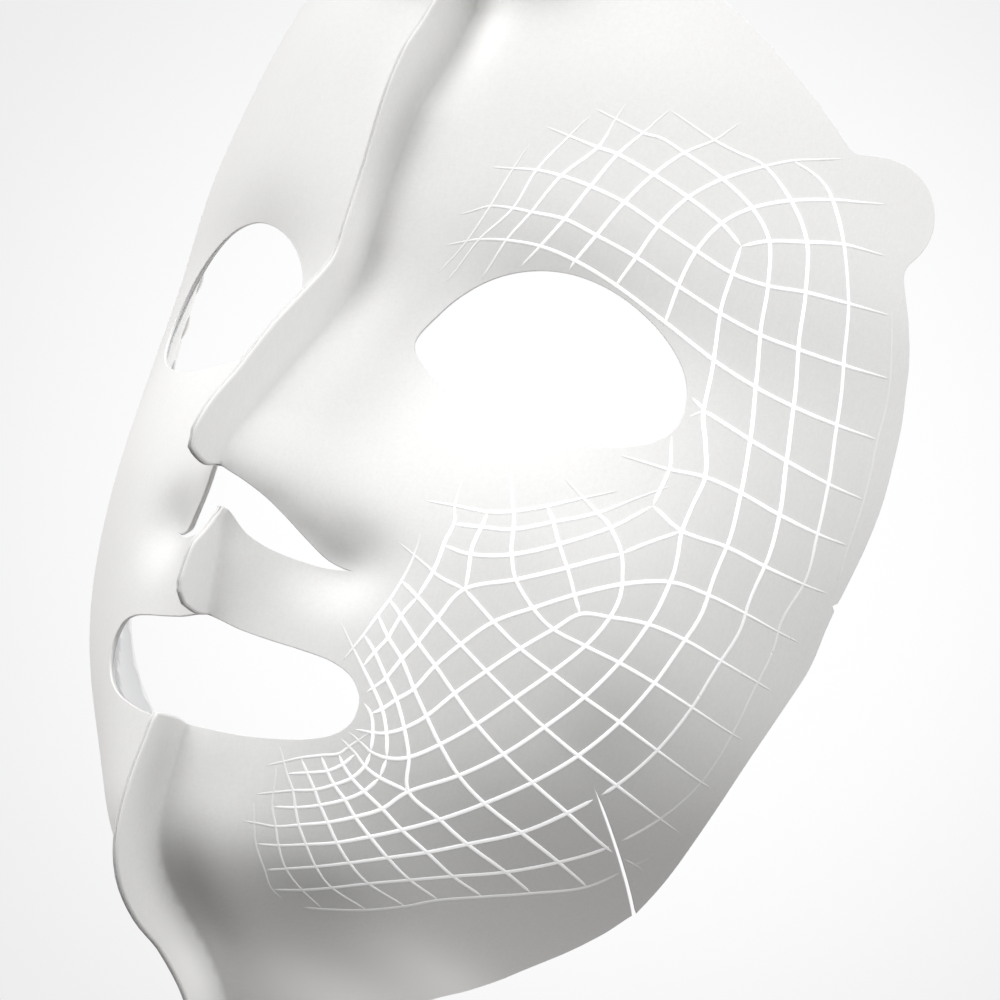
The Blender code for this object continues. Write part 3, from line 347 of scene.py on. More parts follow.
def smoothstep(low, high, value):
    part = np.clip((np.asarray(value, float) - low) / (high - low), 0, 1)
    return part * part * (3 - 2 * part)


# ================================================================= flat patterns: (across, z) points
SLIT_END, SLIT_MOUTH = (71.5, -67.5), (88.6, -85.9)
FLAP_TOP = (104.2, -38.0)
TAB_LOW, TAB_HIGH = (91.2, 28.6), (77.6, 44.4)
NOSTRIL_TOP = [(0, -31.5), (1.8, -32.2), (4.5, -33.1), (8, -34.8), (11, -37), (14.5, -39.9),
               (17.5, -42.1), (20, -42.9), (22.3, -43.1)]
NOSTRIL_LOW = [(22.3, -43.1), (19.2, -43.7), (16.5, -43.9), (12.3, -43.6), (8.5, -43), (5, -41.9),
               (3, -40.7), (1.2, -38.9), (0, -38.2)]
MOUTH_TOP = [(0, -55.8), (3, -56.3), (7, -57), (13, -57.5), (18.5, -57.8), (24, -58.4), (28, -60),
             (30.2, -62.8), (30.5, -65)]
MOUTH_LOW = [(30.5, -65), (29.8, -67.6), (27.5, -70), (23.5, -71.8), (18.5, -73), (11.5, -74),
             (4.5, -74.3), (0, -74.3)]
BOTTOM = [(0, -121), (14, -118), (28, -113.5), (42, -108.3), (52.5, -105), (64, -101), (76.5, -95.6),
          (84, -90.8), (88.0, -86.7)]
JAW = [(89.2, -85.1), (90.6, -80), (92.8, -70), (96.2, -59), (100.2, -48.5), FLAP_TOP]
SIDE = [FLAP_TOP, (107.8, -29), (107.6, -21), (105.2, -12), (100.5, -1), (97.6, 7.5), (96.6, 13),
        (95.2, 19), (93.2, 24), TAB_LOW]
CROWN = [TAB_HIGH, (71, 49.7), (63.5, 55), (53.5, 61.2), (45, 65.5), (34, 70), (20, 75), (8, 77.6),
         (0, 78)]
EYE = [(16.6, -3), (17.4, 3), (20.5, 7.6), (25.5, 11.2), (32, 13.4), (39, 13.8), (46.5, 12.2),
       (54, 8.6), (60.5, 3.6), (64.4, -1.2), (66.4, -6), (65.6, -9.6), (62, -12.2), (56, -14),
       (48, -14.8), (40, -14), (30, -11.2), (22, -7.4)]
TAB = [(77.9, 45.1), (80, 45.6), (84.6, 45.9), (89.4, 44.4), (93, 40.8), (94.6, 36), (93.8, 32),
       (91.9, 29.2)]

FOLD_REACH = 4.0    # how far the flap's and tab's soft skin runs onto the panel before it is fixed
SLIT_HALF = 0.34
SLIT_BOW = -0.55
STEP = 1.1          # point spacing along the outlines
FINE_STEP = STEP * 0.8

# low end, high end, unit vector along, unit vector away from the panel, low end of the fixed edge
Fold = namedtuple("Fold", "low high along away fixed")


def make_fold(low, high, away=None):
    along = unit(np.array(high) - low)
    away = np.array([along[1], -along[0]]) if away is None else away
    return Fold(np.array(low), np.array(high), along, away, np.array(low, float) - away * FOLD_REACH)


flap_fold = make_fold(SLIT_END, FLAP_TOP, unit(np.array(SLIT_MOUTH) - SLIT_END))
tab_fold = make_fold(TAB_LOW, TAB_HIGH)
FOLDS = {"jaw_flap": flap_fold, "ear_tab": tab_fold}


def trim(curve, fold, beyond):
    """The part of a dense curve beyond, or short of, a fold's fixed edge, ending exactly on it."""
    sign = 1 if beyond else -1
    side = (curve - fold.fixed) @ np.array([fold.along[1], -fold.along[0]]) * sign
    out = []
    for i in range(len(curve)):
        if side[i] > 0:
            out.append(curve[i])
        if i + 1 < len(curve) and (side[i] > 0) != (side[i + 1] > 0):
            out.append(curve[i] + (curve[i + 1] - curve[i]) * (side[i] / (side[i] - side[i + 1])))
    out = np.array(out)
    return out[(out - fold.fixed) @ fold.away * sign > -1e-6]


side_curve, crown_curve = smooth(SIDE, 0.4), smooth(CROWN, 0.4)
tab_curve = smooth([TAB_HIGH, *TAB, TAB_LOW], 0.4)
side_panel = trim(trim(side_curve, flap_fold, False), tab_fold, False)
crown_panel = trim(crown_curve, tab_fold, False)
flap_join = resample([flap_fold.fixed, side_panel[0]], STEP)
tab_join = resample([side_panel[-1], crown_panel[0]], STEP)


def slit_edge(sign):
    """Edge of the jaw slit, from its closed inner end to its mouth: -1 the chin's side, 1 the flap's."""
    part = np.linspace(0, 1, 24)
    start, end = np.array(SLIT_END), np.array(SLIT_MOUTH)
    bow = np.sin(part * math.pi)[:, None] * flap_fold.along * SLIT_BOW
    width = SLIT_HALF * np.sqrt(np.clip(part * 6, 0, 1))[:, None] * (1 + 0.25 * part[:, None])
    line = start + (end - start) * part[:, None] + bow
    return resample(line + flap_fold.along * width * sign, FINE_STEP)


def leg(points, step=STEP):
    """Evenly spaced points along straight lines, without the last."""
    return resample(points, step)[:-1]


def fin_edge(z, scale=1):
    return np.stack([-fin_at(z) * scale, z], 1)


def panel_outline():
    """Outer loop of a panel with its fin, from the top of the midline down and back round the side."""
    lip_z = np.arange(-38.7, -52.0, -FINE_STEP)
    slit = slit_edge(-1)
    return tidy(np.vstack([
        leg([(0, 78), (0, 72.4)]),
        leg([(0, 72.4), (3.7, 72.4), (3.7, 70.6), (0, 70.6)]),
        leg([(0, 70.6), (0, FIN_TOP_Z)]),
        leg([(0, FIN_TOP_Z), (-fin_at(FIN_TOP_Z), FIN_TOP_Z)]),
        fin_edge(np.concatenate([np.arange(FIN_TOP_Z, -28.0, -STEP), [-28.7, -29.3]])),
        leg([(-6.6, -29.9), (-2.6, -31.2), (0, -31.5)], FINE_STEP),
        smooth(NOSTRIL_TOP, FINE_STEP),
        smooth(NOSTRIL_LOW, FINE_STEP)[1:],
        fin_edge(lip_z, np.clip((-38.2 - lip_z) * 0.8, 0, 1)),
        leg([(-7.1, -52.2), (-5.6, -54.2), (-3.0, -55.3), (0, -55.8)], FINE_STEP),
        smooth(MOUTH_TOP, FINE_STEP),
        smooth(MOUTH_LOW, FINE_STEP)[1:],
        resample([(0, -74.3), (-3.6, -74.0), (-7.0, -74.0)], FINE_STEP)[1:],
        fin_edge(np.arange(-75.0, -120.6, -STEP)),
        leg([(-fin_at(-121.0), -121.0), (0, -121)]),
        smooth([*BOTTOM[:-1], slit[-1]], STEP),
        slit[::-1][1:],
        leg([SLIT_END, flap_fold.fixed])[1:],
        flap_join,
        resample(side_panel, STEP)[1:],
        tab_join[1:],
        leg(crown_panel)[1:],
    ]), 0.12)


def flap_outline():
    slit = slit_edge(1)
    edge = smooth([slit[-1], *JAW[1:]], 0.4)
    outer = resample(np.vstack([edge, trim(side_curve, flap_fold, True)[1:]]), STEP)
    return np.vstack([slit, outer[1:], flap_join[::-1][1:], leg([flap_fold.fixed, SLIT_END])[1:]])


def tab_outline():
    line = np.vstack([trim(side_curve, tab_fold, True), tab_curve[::-1][1:],
                      trim(crown_curve, tab_fold, True)[1:]])
    soften(line, 30)        # eases the two inner corners where the tab leaves the rim
    return np.vstack([resample(line, FINE_STEP), tab_join[::-1][1:-1]])


def triangulate(outer, holes, pitch, lines=()):
    """Triangles about pitch wide inside outer, clear of the holes and following the lines."""
    points, edges = [], []
    for line, closed in [(loop, True) for loop in (outer, *holes)] + [(run, False) for run in lines]:
        first, count = len(points), len(line)
        points += [tuple(p) for p in line]
        edges += [(first + i, first + (i + 1) % count) for i in range(count if closed else count - 1)]

    def within(places):
        keep = inside(places, outer)
        for hole in holes:
            keep &= ~inside(places, hole)
        return keep

    low, high = outer.min(0), outer.max(0)
    rows = []
    for i, z in enumerate(np.arange(low[1], high[1], pitch * 0.87)):
        row = np.arange(low[0] + (pitch / 2 if i % 2 else 0), high[0], pitch)
        rows.append(np.stack([row, np.full(len(row), z)], 1))
    grid = np.vstack(rows)
    grid = grid[within(grid)]
    for loop in (outer, *holes):
        grid = grid[distance_to(grid, loop) > 0.55 * pitch]
    for run in lines:
        grid = grid[distance_to(grid, np.array(run), False) > 0.5 * pitch]
    points += [tuple(p) for p in grid]
    result = geometry.delaunay_2d_cdt([Vector(p) for p in points], edges, [], 0, 1e-6)
    verts = np.array([tuple(v) for v in result[0]])
    faces = np.array([f for f in result[2] if len(f) == 3])
    faces = faces[within(verts[faces].mean(1))]
    start = verts[faces[:, 0]]
    one, two = (verts[faces[:, 1]] - start).T, (verts[faces[:, 2]] - start).T
    area = one[0] * two[1] - one[1] * two[0]
    faces[area < 0] = faces[area < 0][:, ::-1]
    used = np.unique(faces)
    renumber = -np.ones(len(verts), int)
    renumber[used] = np.arange(len(used))
    return verts[used], renumber[faces]


# ================================================================= mesh makers
def to_world(points, side):
    points = np.array(points, float)
    if side < 0:
        points[:, 0] *= -1
    return (points - CENTRE) * MM


def make(name, points, faces, mat, side=1, flip=False):
    """A smooth-shaded object from design-frame points; side -1 mirrors it."""
    mesh = bpy.data.meshes.new(name)
    mesh.from_pydata([tuple(p) for p in to_world(points, side)], [],
                     [tuple(int(i) for i in (f[::-1] if flip else f)) for f in faces])
    mesh.validate()
    mesh.shade_smooth()
    mesh.materials.append(mat)
    obj = bpy.data.objects.new(name, mesh)
    bpy.context.scene.collection.objects.link(obj)
    return obj


def solid(name, points, faces, mat, side=1, sharp=None):
    """make(), with faces turned outwards and edges over sharp degrees kept crisp."""
    obj = make(name, points, faces, mat, side)
    work = bmesh.new()
    work.from_mesh(obj.data)
    bmesh.ops.recalc_face_normals(work, faces=work.faces)
    work.to_mesh(obj.data)
    work.free()
    if sharp:
        obj.data.set_sharp_from_angle(angle=math.radians(sharp))
    return obj


def set_attributes(obj, **attributes):
    for name, values in attributes.items():
        layer = obj.data.attributes.new(name, "FLOAT", "POINT")
        layer.data.foreach_set("value", np.asarray(values, np.float32))


def settle(obj, body, node, blend=None):
    if blend:
        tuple(blend[0])
        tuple(blend[1])
        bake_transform(obj)
    else:
        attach(obj, body)
    if node:
        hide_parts(node)


def rim_loops(triangles):
    """Directed boundary edges of a triangulation, chained into loops."""
    ends = set()
    for i, j, k in triangles:
        ends.update(((i, j), (j, k), (k, i)))
    following = {i: j for i, j in ends if (j, i) not in ends}
    loops = []
    while following:
        i, j = following.popitem()
        loop = [i]
        while j != loop[0]:
            loop.append(j)
            j = following.pop(j)
        loops.append(loop)
    return loops


def layer_point(flat, depth, x_min, lay):
    """A layer's points, by lay = place or filleted. Above the fin it closes up to the centre plane."""
    points = lay(flat, depth, x_min)
    closing = smoothstep(FIN_TOP_Z - 0.3, FIN_TOP_Z + 1.0, flat[:, 1])
    if x_min > 0.02 and (closing > 0).any():
        points = points * (1 - closing)[:, None] + lay(flat, depth, 0.01) * closing[:, None]
    return points


def layer_normal(flat, depth, x_min, lay):
    step = 0.3
    free = (flat[:, 1] > FIN_TOP_Z) & (flat[:, 0] < step)
    right, left, above, below = (flat.copy() for _ in range(4))
    right[:, 0] += step
    left[:, 0] = np.where(free, left[:, 0], left[:, 0] - step)
    above[:, 1] += step
    below[:, 1] -= step
    right, left, above, below = (layer_point(p, depth, x_min, lay) for p in (right, left, above, below))
    normals = np.cross(right - left, above - below)
    return normals / np.maximum(np.linalg.norm(normals, axis=1), 1e-9)[:, None]


def set_normals(obj, given):
    """Replaces vertex normals. given holds (first vertex, normals) runs."""
    mesh = obj.data
    normals = np.zeros(len(mesh.vertices) * 3)
    mesh.vertex_normals.foreach_get("vector", normals)
    normals = normals.reshape(-1, 3)
    for first, run in given:
        normals[first : first + len(run)] = run
    mesh.normals_split_custom_set_from_vertices([tuple(n) for n in normals])


# Where painted light and shade make the cover a little lighter or darker: flat position, reach across and
# up, amount
PAINTED_SHADING_SPOTS = [
    ((15, -13), (9, 13), -0.13), ((12.5, 1), (6, 8), -0.10), ((66, -24), (16, 15), 0.12),
    ((74, -54), (14, 13), -0.16), ((5, -98), (6, 11), -0.38), ((20, -111), (20, 6), 0.50),
    ((46, -104), (14, 5.5), 0.44), ((28, -95), (13, 6), -0.29), ((8, -46.8), (6, 5), -0.08),
    ((8.7, -78.7), (6, 5), -0.09), ((9, -34.2), (4, 1.8), -0.14), ((14, -37.6), (4, 2.2), -0.20),
    ((19, -40.8), (4, 2.6), -0.28), ((-1, 31), (4.5, 19), -0.20), ((1, 8), (2.5, 9), -0.20),
    ((-4, -82), (4, 9), -0.20), ((-5, -108), (4, 9), 0.34), ((55, -72), (14, 8), -0.05),
    ((-5, 14), (4, 9), 0.14), ((7, 53), (5, 8), 0.20), ((0.3, -14), (1.0, 15), -0.10),
    ((70, -60), (8, 8), -0.08),
]
RIGHT_PAINTED_SHADING = 0.35       # how much of the painted light and shade the right half shows
RIM_BULGE = 0.5         # bulge of a sheet's rim, as a share of half its thickness
RIM_SEGMENTS = 4


# painted light and shade: a factor on the cover's colour, above 1 lighter, below 1 darker
def tone(flat):
    out = np.ones(len(flat))
    for entry in PAINTED_SHADING_SPOTS:
        out += swell(flat[:, 0], flat[:, 1], *entry)
    return out


def sheet(name, region, layer, side, mat, cover=False):
    """A closed soft sheet with a rounded rim.

    layer holds the outer and inner depth and their x limits. A cover sheet also has the filleted
    crease, a shared round edge on the fin, a square rim at the joins and the surface's own normals.
    """
    flat, triangles = region
    count = len(flat)
    outer, inner, outer_x, inner_x = layer
    outer, inner = np.broadcast_to(outer, (count,)), np.broadcast_to(inner, (count,))
    lay = filleted if cover else place
    points = [layer_point(flat, outer, outer_x, lay), layer_point(flat, inner, inner_x, lay)]
    flats = [flat, flat]
    total = 2 * count
    faces = [tuple(f) for f in triangles] + [(k + count, j + count, i + count) for i, j, k in triangles]
    for loop in rim_loops(triangles):
        index = np.array(loop)
        rim = flat[index]
        normal = outward(rim)
        half = (inner[index] - outer[index]) / 2
        free = np.clip((join_distance(rim) - 0.05) / 1.2, 0, 1) if cover else np.ones(len(rim))
        on_fin = np.clip((-rim[:, 0] - 0.3) / 0.8, 0, 1)[:, None]
        rings = [index]
        for k in range(1, RIM_SEGMENTS):
            angle = math.pi * k / RIM_SEGMENTS
            share = (1 - math.cos(angle)) / 2
            moved = rim + normal * (half * RIM_BULGE * math.sin(angle) * free)[:, None]
            depth = outer[index] + half * (1 - math.cos(angle))
            ring = (layer_point(moved, depth, outer_x, lay) * (1 - share)
                    + layer_point(moved, depth, inner_x, lay) * share)
            if cover:
                # the two flanks of the fin share one round edge
                moved = rim + normal * (0.6 * math.sin(angle / 2) * free)[:, None]
                edge = layer_point(moved, depth, outer_x, lay)
                edge[:, 0] = 0.01 + (outer_x - 0.01) * math.cos(angle / 2)
                ring = ring * (1 - on_fin) + edge * on_fin
            points.append(ring)
            flats.append(rim)
            rings.append(np.arange(total, total + len(index)))
            total += len(index)
        rings.append(index + count)
        for ring, deeper in zip(rings, rings[1:]):
            for i in range(len(index)):
                j = (i + 1) % len(index)
                faces.append((ring[j], ring[i], deeper[i], deeper[j]))
    obj = make(name, np.vstack(points), faces, mat, side, flip=side < 0)
    # painted light and shade on the cover, weaker on the right half
    set_attributes(obj, tone=1 + (tone(np.vstack(flats)) - 1) * (1.0 if side > 0 else RIGHT_PAINTED_SHADING))
    if cover:
        mirror = np.array([side, 1, 1])
        set_normals(obj, [(0, layer_normal(flat, outer, outer_x, lay) * mirror),
                          (count, -layer_normal(flat, inner, inner_x, lay) * mirror)])
    return obj


# ================================================================= shader helpers
def feed(tree, node, inputs):
    """Sets a node's inputs, each from a value or from the socket that drives it."""
    for key, value in inputs.items():
        if isinstance(value, bpy.types.NodeSocket):
            tree.links.new(value, node.inputs[key])
        else:
            node.inputs[key].default_value = value


def add_node(tree, kind, inputs, **settings):
    node = tree.nodes.new("ShaderNode" + kind)
    for key, value in settings.items():
        setattr(node, key, value)
    feed(tree, node, inputs)
    return node


def maths(tree, operation, *values, clamp=False):
    node = add_node(tree, "Math", dict(enumerate(values)), operation=operation, use_clamp=clamp)
    return node.outputs[0]


def vector_maths(tree, operation, *values, **named):
    inputs = {**dict(enumerate(values)), **named}
    node = add_node(tree, "VectorMath", inputs, operation=operation)
    return node.outputs["Value" if operation in ("DOT_PRODUCT", "LENGTH") else "Vector"]


def map_range(tree, value, source=(0.0, 1.0), target=(0.0, 1.0), kind="LINEAR"):
    inputs = {"Value": value, "From Min": source[0], "From Max": source[1],
              "To Min": target[0], "To Max": target[1]}
    return add_node(tree, "MapRange", inputs, interpolation_type=kind).outputs["Result"]


def ease(tree, value, zero, one):
    """Smooth step from 0 where value is zero to 1 where it is one."""
    if zero < one:
        return map_range(tree, value, (zero, one), kind="SMOOTHSTEP")
    return map_range(tree, value, (one, zero), (1.0, 0.0), kind="SMOOTHSTEP")


def mix_colour(tree, factor, first, second):
    first, second = ((*c, 1) if isinstance(c, tuple) else c for c in (first, second))
    node = add_node(tree, "Mix", {}, data_type="RGBA")
    feed(tree, node, {"Factor": factor, 6: first, 7: second})
    return node.outputs[2]


def coordinates(tree, kind="Object"):
    return add_node(tree, "TexCoord", {}).outputs[kind]


def noise(tree, scale, detail=3.0, vector=None, **more):
    vector = vector or coordinates(tree)
    inputs = {"Scale": scale, "Detail": detail, "Vector": vector, **more}
    return add_node(tree, "TexNoise", inputs).outputs["Fac"]


def attribute(tree, name):
    return add_node(tree, "Attribute", {}, attribute_name=name).outputs["Fac"]


def bumped(tree, height, strength, distance):
    inputs = {"Height": height, "Strength": strength, "Distance": distance}
    return add_node(tree, "Bump", inputs).outputs["Normal"]


def new_material(name):
    mat = bpy.data.materials.new(name)
    mat.use_nodes = True
    return mat, mat.node_tree, mat.node_tree.nodes["Principled BSDF"]


# ================================================================= cover and lattice materials
def cover_material():
    """Soft off-white sheet: fine short fibres in two directions, faint mottling, a little sheen, and
    painted light and shade scaling its colour.
    """
    mat, tree, shader = new_material("soft_cover")
    coords = coordinates(tree)
    fibres = []
    for lean, stretch in ((0.6, (1.0, 1.0, 0.28)), (-0.5, (0.3, 1.0, 1.0))):
        turned = add_node(tree, "Mapping", {
            "Vector": coords,
            "Rotation": (lean, 0.35 * lean, lean * 1.7),
            "Scale": tuple(2300 * c for c in stretch),
        }).outputs["Vector"]
        fibres.append(noise(tree, scale=1.0, detail=4.0, vector=turned, Roughness=0.6))
    mixed = add_node(tree, "Mix", {}, data_type="FLOAT")
    feed(tree, mixed, {"Factor": 0.5, 2: fibres[0], 3: fibres[1]})
    grain = mixed.outputs[0]
    broad = noise(tree, scale=38, vector=coords)
    # share of the lighter colour: mostly by fibre, partly by the broad mottle
    fibre = map_range(tree, grain, source=(0.3, 0.7))
    mottle = maths(tree, "MULTIPLY", broad, 0.55)
    share = maths(tree, "MULTIPLY_ADD", fibre, 0.62, mottle, clamp=True)
    tint = mix_colour(tree, share, (0.80, 0.79, 0.775), (0.88, 0.88, 0.87))
    feed(tree, shader, {
        # the colour is scaled by painted light and shade
        "Base Color": vector_maths(tree, "SCALE", tint, Scale=attribute(tree, "tone")),
        "Normal": bumped(tree, grain, strength=0.10, distance=0.0002),
        "Roughness": map_range(tree, broad, target=(0.54, 0.72)),
        "Sheen Weight": 0.25,
        "Sheen Roughness": 0.5,
        "Specular IOR Level": 0.25,
    })
    return mat


def lattice_material():
    """Milky light-guide ink: white, with a faint painted glow that keeps it bright in shade, fading into
    the sheet it stands on.
    """
    mat, tree, shader = new_material("lattice")
    shown = attribute(tree, "fade")
    speckle = noise(tree, scale=900)
    wobble = map_range(tree, speckle, target=(0.86, 1.12))
    # painted glow: the lines give off a little light so they stay bright in shade
    glow = maths(tree, "MULTIPLY", shown, wobble)
    feed(tree, shader, {
        "Base Color": mix_colour(tree, shown, (0.86, 0.86, 0.85), (0.97, 0.97, 0.97)),
        "Emission Color": (1, 1, 1, 1),
        "Emission Strength": maths(tree, "MULTIPLY", glow, 0.40),
        "Roughness": 0.45,
        "Normal": bumped(tree, speckle, strength=0.15, distance=0.0001),
    })
    return mat


# ================================================================= outer skin
COVER = 0.6                             # thickness of the cover
FLANK_X = 0.70                          # x of the fin's outer face
COVER_LAYER = (0.0, COVER, FLANK_X, 0.08)
FOLD_BEND = 0.003                       # m, reach of a fold's bend each side of its hinge
COVER_PITCH, TAB_PITCH = 1.45, 1.3      # triangle size
COVER_MAT = cover_material()

outline = counterclockwise(panel_outline())
flap_loop = counterclockwise(flap_outline())
tab_loop = counterclockwise(tab_outline())
eye = smooth(EYE, 0.9, closed=True)
# the crease between fin and panel, (top, bottom) of each stretch
crease_lines = [[(0, z) for z in np.arange(top, bottom, -1.2)]
                for top, bottom in ((FIN_TOP_Z - 1.2, -31), (-38.4, -55.4), (-75.3, -120.4))]
cover_region = triangulate(outline, [eye], COVER_PITCH, crease_lines)
soft_regions = {"jaw_flap": triangulate(flap_loop, [], COVER_PITCH),
                "ear_tab": triangulate(tab_loop, [], TAB_PITCH)}
fold_join = np.vstack([resample([SLIT_END, flap_fold.fixed], 0.5),
                       resample([flap_fold.fixed, side_panel[0]], 0.5)])
HINGES = {joint["child"]: joint for joint in frame["joints"]}


def join_distance(flat):
    """Distance to the nearest join between the panel's skin and the flap's or tab's."""
    return np.minimum(distance_to(flat, fold_join, False), distance_to(flat, tab_join, False))


def bend_ends(part, word):
    """Start and end of the bend across a fold, square to its hinge line."""
    joint, fold = HINGES[f"{part}_{word}"], FOLDS[part]
    axis = np.array(joint["axis"], float)
    hinge = np.array(joint["pos_m"], float)
    middle = (fold.low + fold.high) / 2
    start, end = to_world(place([middle, middle + fold.away * 6.0], 0.3, 0.3),
                          -1 if word == "right" else 1)
    across = end - start
    across -= axis * (across @ axis) / (axis @ axis)
    across /= np.linalg.norm(across)
    return tuple(hinge - across * FOLD_BEND), tuple(hinge + across * FOLD_BEND)


for side, word in HALVES:
    skin = sheet(f"cover_skin_{word}", cover_region, COVER_LAYER, side, COVER_MAT, cover=True)
    settle(skin, "mask", f"cover_{word}")
    for part, region in soft_regions.items():
        skin = sheet(f"{part}_skin_{word}", region, COVER_LAYER, side, COVER_MAT, cover=True)
        body = f"{part}_{word}"
        settle(skin, body, body, blend=bend_ends(part, word))

# ================================================================= raised light lattice, left half
# Knots in the flat pattern, (across, z)
KNOTS = [
    (14.3, 14.2), (17.9, 15.5), (20.1, 16.2), (25, 17), (31.2, 17.2), (37.8, 16.1), (45.7, 13.6),
    (55.4, 9.5), (65.3, 5.3), (73.7, 2.7), (81, 1.2), (89.1, 0.2), (96.7, -0.3), (17.1, 20.4),
    (20.7, 22), (24.9, 22.4), (28.3, 22.4), (34.4, 22.4), (40.5, 20.9), (48, 18.8), (56, 15.8),
    (63.8, 13.1), (71.1, 11.3), (77.8, 10.6), (85.8, 10.1), (94.1, 10), (22.9, 29), (27.1, 29.5),
    (31.7, 29.4), (37.2, 28.7), (43.6, 27.3), (50.3, 24.8), (57.5, 22.2), (64.2, 20), (70.4, 19.5),
    (76.7, 20.1), (84.1, 20.2), (91.8, 20.2), (30.8, 36.3), (36.2, 35.4), (39.9, 35), (46.8, 33),
    (53.6, 30.6), (60.2, 27.7), (64.4, 24.8), (37.5, 40.8), (42.8, 39.5), (46.1, 39.3), (50.5, 37.8),
    (58, 35), (64.2, 31.5), (68.6, 26.8), (78.2, -6), (82.8, -14.9), (86.1, -24.1), (85.3, -32.5),
    (81.1, -40.6), (77.6, -48.7), (73.2, -56.3), (67.6, -63.3), (61.1, -69.4), (54.1, -74.7),
    (47.4, -79.1), (41.6, -82.3), (36.7, -84.7), (31.5, -87), (26.5, -88.6), (22, -89.9),
    (18.2, -90.6), (48.5, 43.3), (54.5, 41.1), (58.6, 40.1), (63.9, 38.9), (69.9, 34.4), (74.6, 28.3),
    (85.7, -7.8), (90.7, -16.7), (93.5, -25.5), (91.8, -33.8), (87.8, -42.3), (84.8, -50.9),
    (80.6, -59.1), (75.2, -66.3), (68.2, -72.7), (61.4, -77.7), (53, -81.8), (46.6, -84.8),
    (40.3, -87.3), (34.1, -89.7), (28.5, -91.7), (23.4, -93.3), (19.7, -94.4), (68, 41.1),
    (72.9, 39.4), (76.4, 36.4), (80.6, 29.6), (94.3, -9.6), (98.3, -18), (101, -26.6), (97.6, -35.2),
    (95, -44.1), (92.9, -53.3), (89.7, -62.2), (84.5, -69.7), (77, -76.5), (69.6, -80.8), (61, -84.6),
    (52.1, -87.5), (44.8, -89.9), (37.7, -92.2), (31.2, -94.4), (25.8, -96), (20.4, -97.2),
    (101.4, -10.5), (104.3, -18.5), (106.3, -27), (103.4, -36.3), (83.4, -78), (76.6, -83.5),
    (67, -86.9), (58.4, -89.5), (50.5, -91.9), (44.4, -94.3), (37.1, -96.5), (28.8, -98.2),
    (23.3, -98.9), (68.4, -3.2), (72.4, -8.6), (76, -13.9), (77.2, -19.1), (78.1, -23.5), (79.3, -28),
    (78.7, -32.1), (74.6, -39.7), (71.1, -47), (66.6, -53.9), (61.1, -60.3), (55.4, -66.2),
    (48.9, -71.4), (41.4, -76), (37.7, -79.8), (33.6, -82.2), (29.4, -84.2), (24.8, -85.8),
    (21.1, -87), (17.4, -87.3), (36.3, -75), (34.2, -77.8), (31.4, -79.9), (27.6, -81.8),
    (23.7, -83.2), (19.9, -84), (36.8, -71.6), (34, -71.3), (33.5, -73.8), (31.8, -76.2), (29.2, -78),
    (26.2, -79.6), (22.7, -80.6), (19.6, -81.7), (31.6, -72.2), (29.9, -74.4), (27.6, -76.1),
    (24.4, -77.2), (21.1, -78.2), (30.3, -71.4), (28.9, -72.9), (26, -73.9), (22.8, -75.1),
    (20.1, -76.4), (55.3, 7), (80.8, 37.3), (45.5, 11.9), (72.4, 42.6), (36.4, 13.3), (57, 44.5),
    (28.8, 13.8), (44.8, 43), (22.8, 11.7), (17.3, 10.6), (14.5, 10), (87.2, 29.7), (63.8, -0.7),
    (66.2, -5.8), (66.9, -14.1), (70.1, -14.2), (71.5, -20.7), (70.3, -34.5), (61.9, -38.2),
    (55.3, -42), (49.5, -45.8), (45, -50.7), (41.6, -55.1), (38.9, -59.6), (36.4, -62), (34.4, -64.1),
    (32.7, -65.3), (100.7, -45.5), (68.1, -40.2), (63.1, -41), (59.3, -44.5), (54.7, -48.9),
    (50, -53.9), (45.6, -58.7), (41.8, -63.4), (38.6, -66.2), (35.9, -67.7), (33.7, -68.2),
    (32, -68.3), (98.8, -54.4), (65, -45.8), (52, -38.2), (51.6, -34.4), (52, -30.3), (51.3, -27.4),
    (49.2, -23.7), (95.7, -63.2), (60.5, -51.4), (43.7, -41.8), (89.5, -71.2), (55.3, -57.1),
    (40.3, -47.6), (36.2, -44.9), (32.7, -42.9), (50.1, -62.6), (38, -52.1), (34.2, -48.6),
    (31.5, -46.4), (44.9, -67.3), (35.9, -55.4), (32.9, -52.5), (30.2, -49.3), (40.3, -70.6),
    (34, -59), (31.2, -55.4), (28.7, -53), (70.2, -29.7), (60.7, -22.4), (64.1, -24.2), (67.2, -26),
    (32.5, -70.5), (61, -34.2), (32.2, -61.1), (30.2, -63), (59.8, -30.8), (44.4, -36), (39.7, -35.6),
    (68.4, -20.2), (58.1, -27.5), (46.6, -31.2), (41.8, -31.8), (56.1, -25.2), (47.2, -28.5),
    (41.5, -28.8), (39.4, -40.9), (36, -39.2), (37.8, -40.6), (29.7, -58.2), (27.4, -55.6),
    (33.9, -39.6), (67.8, -10.4),
]
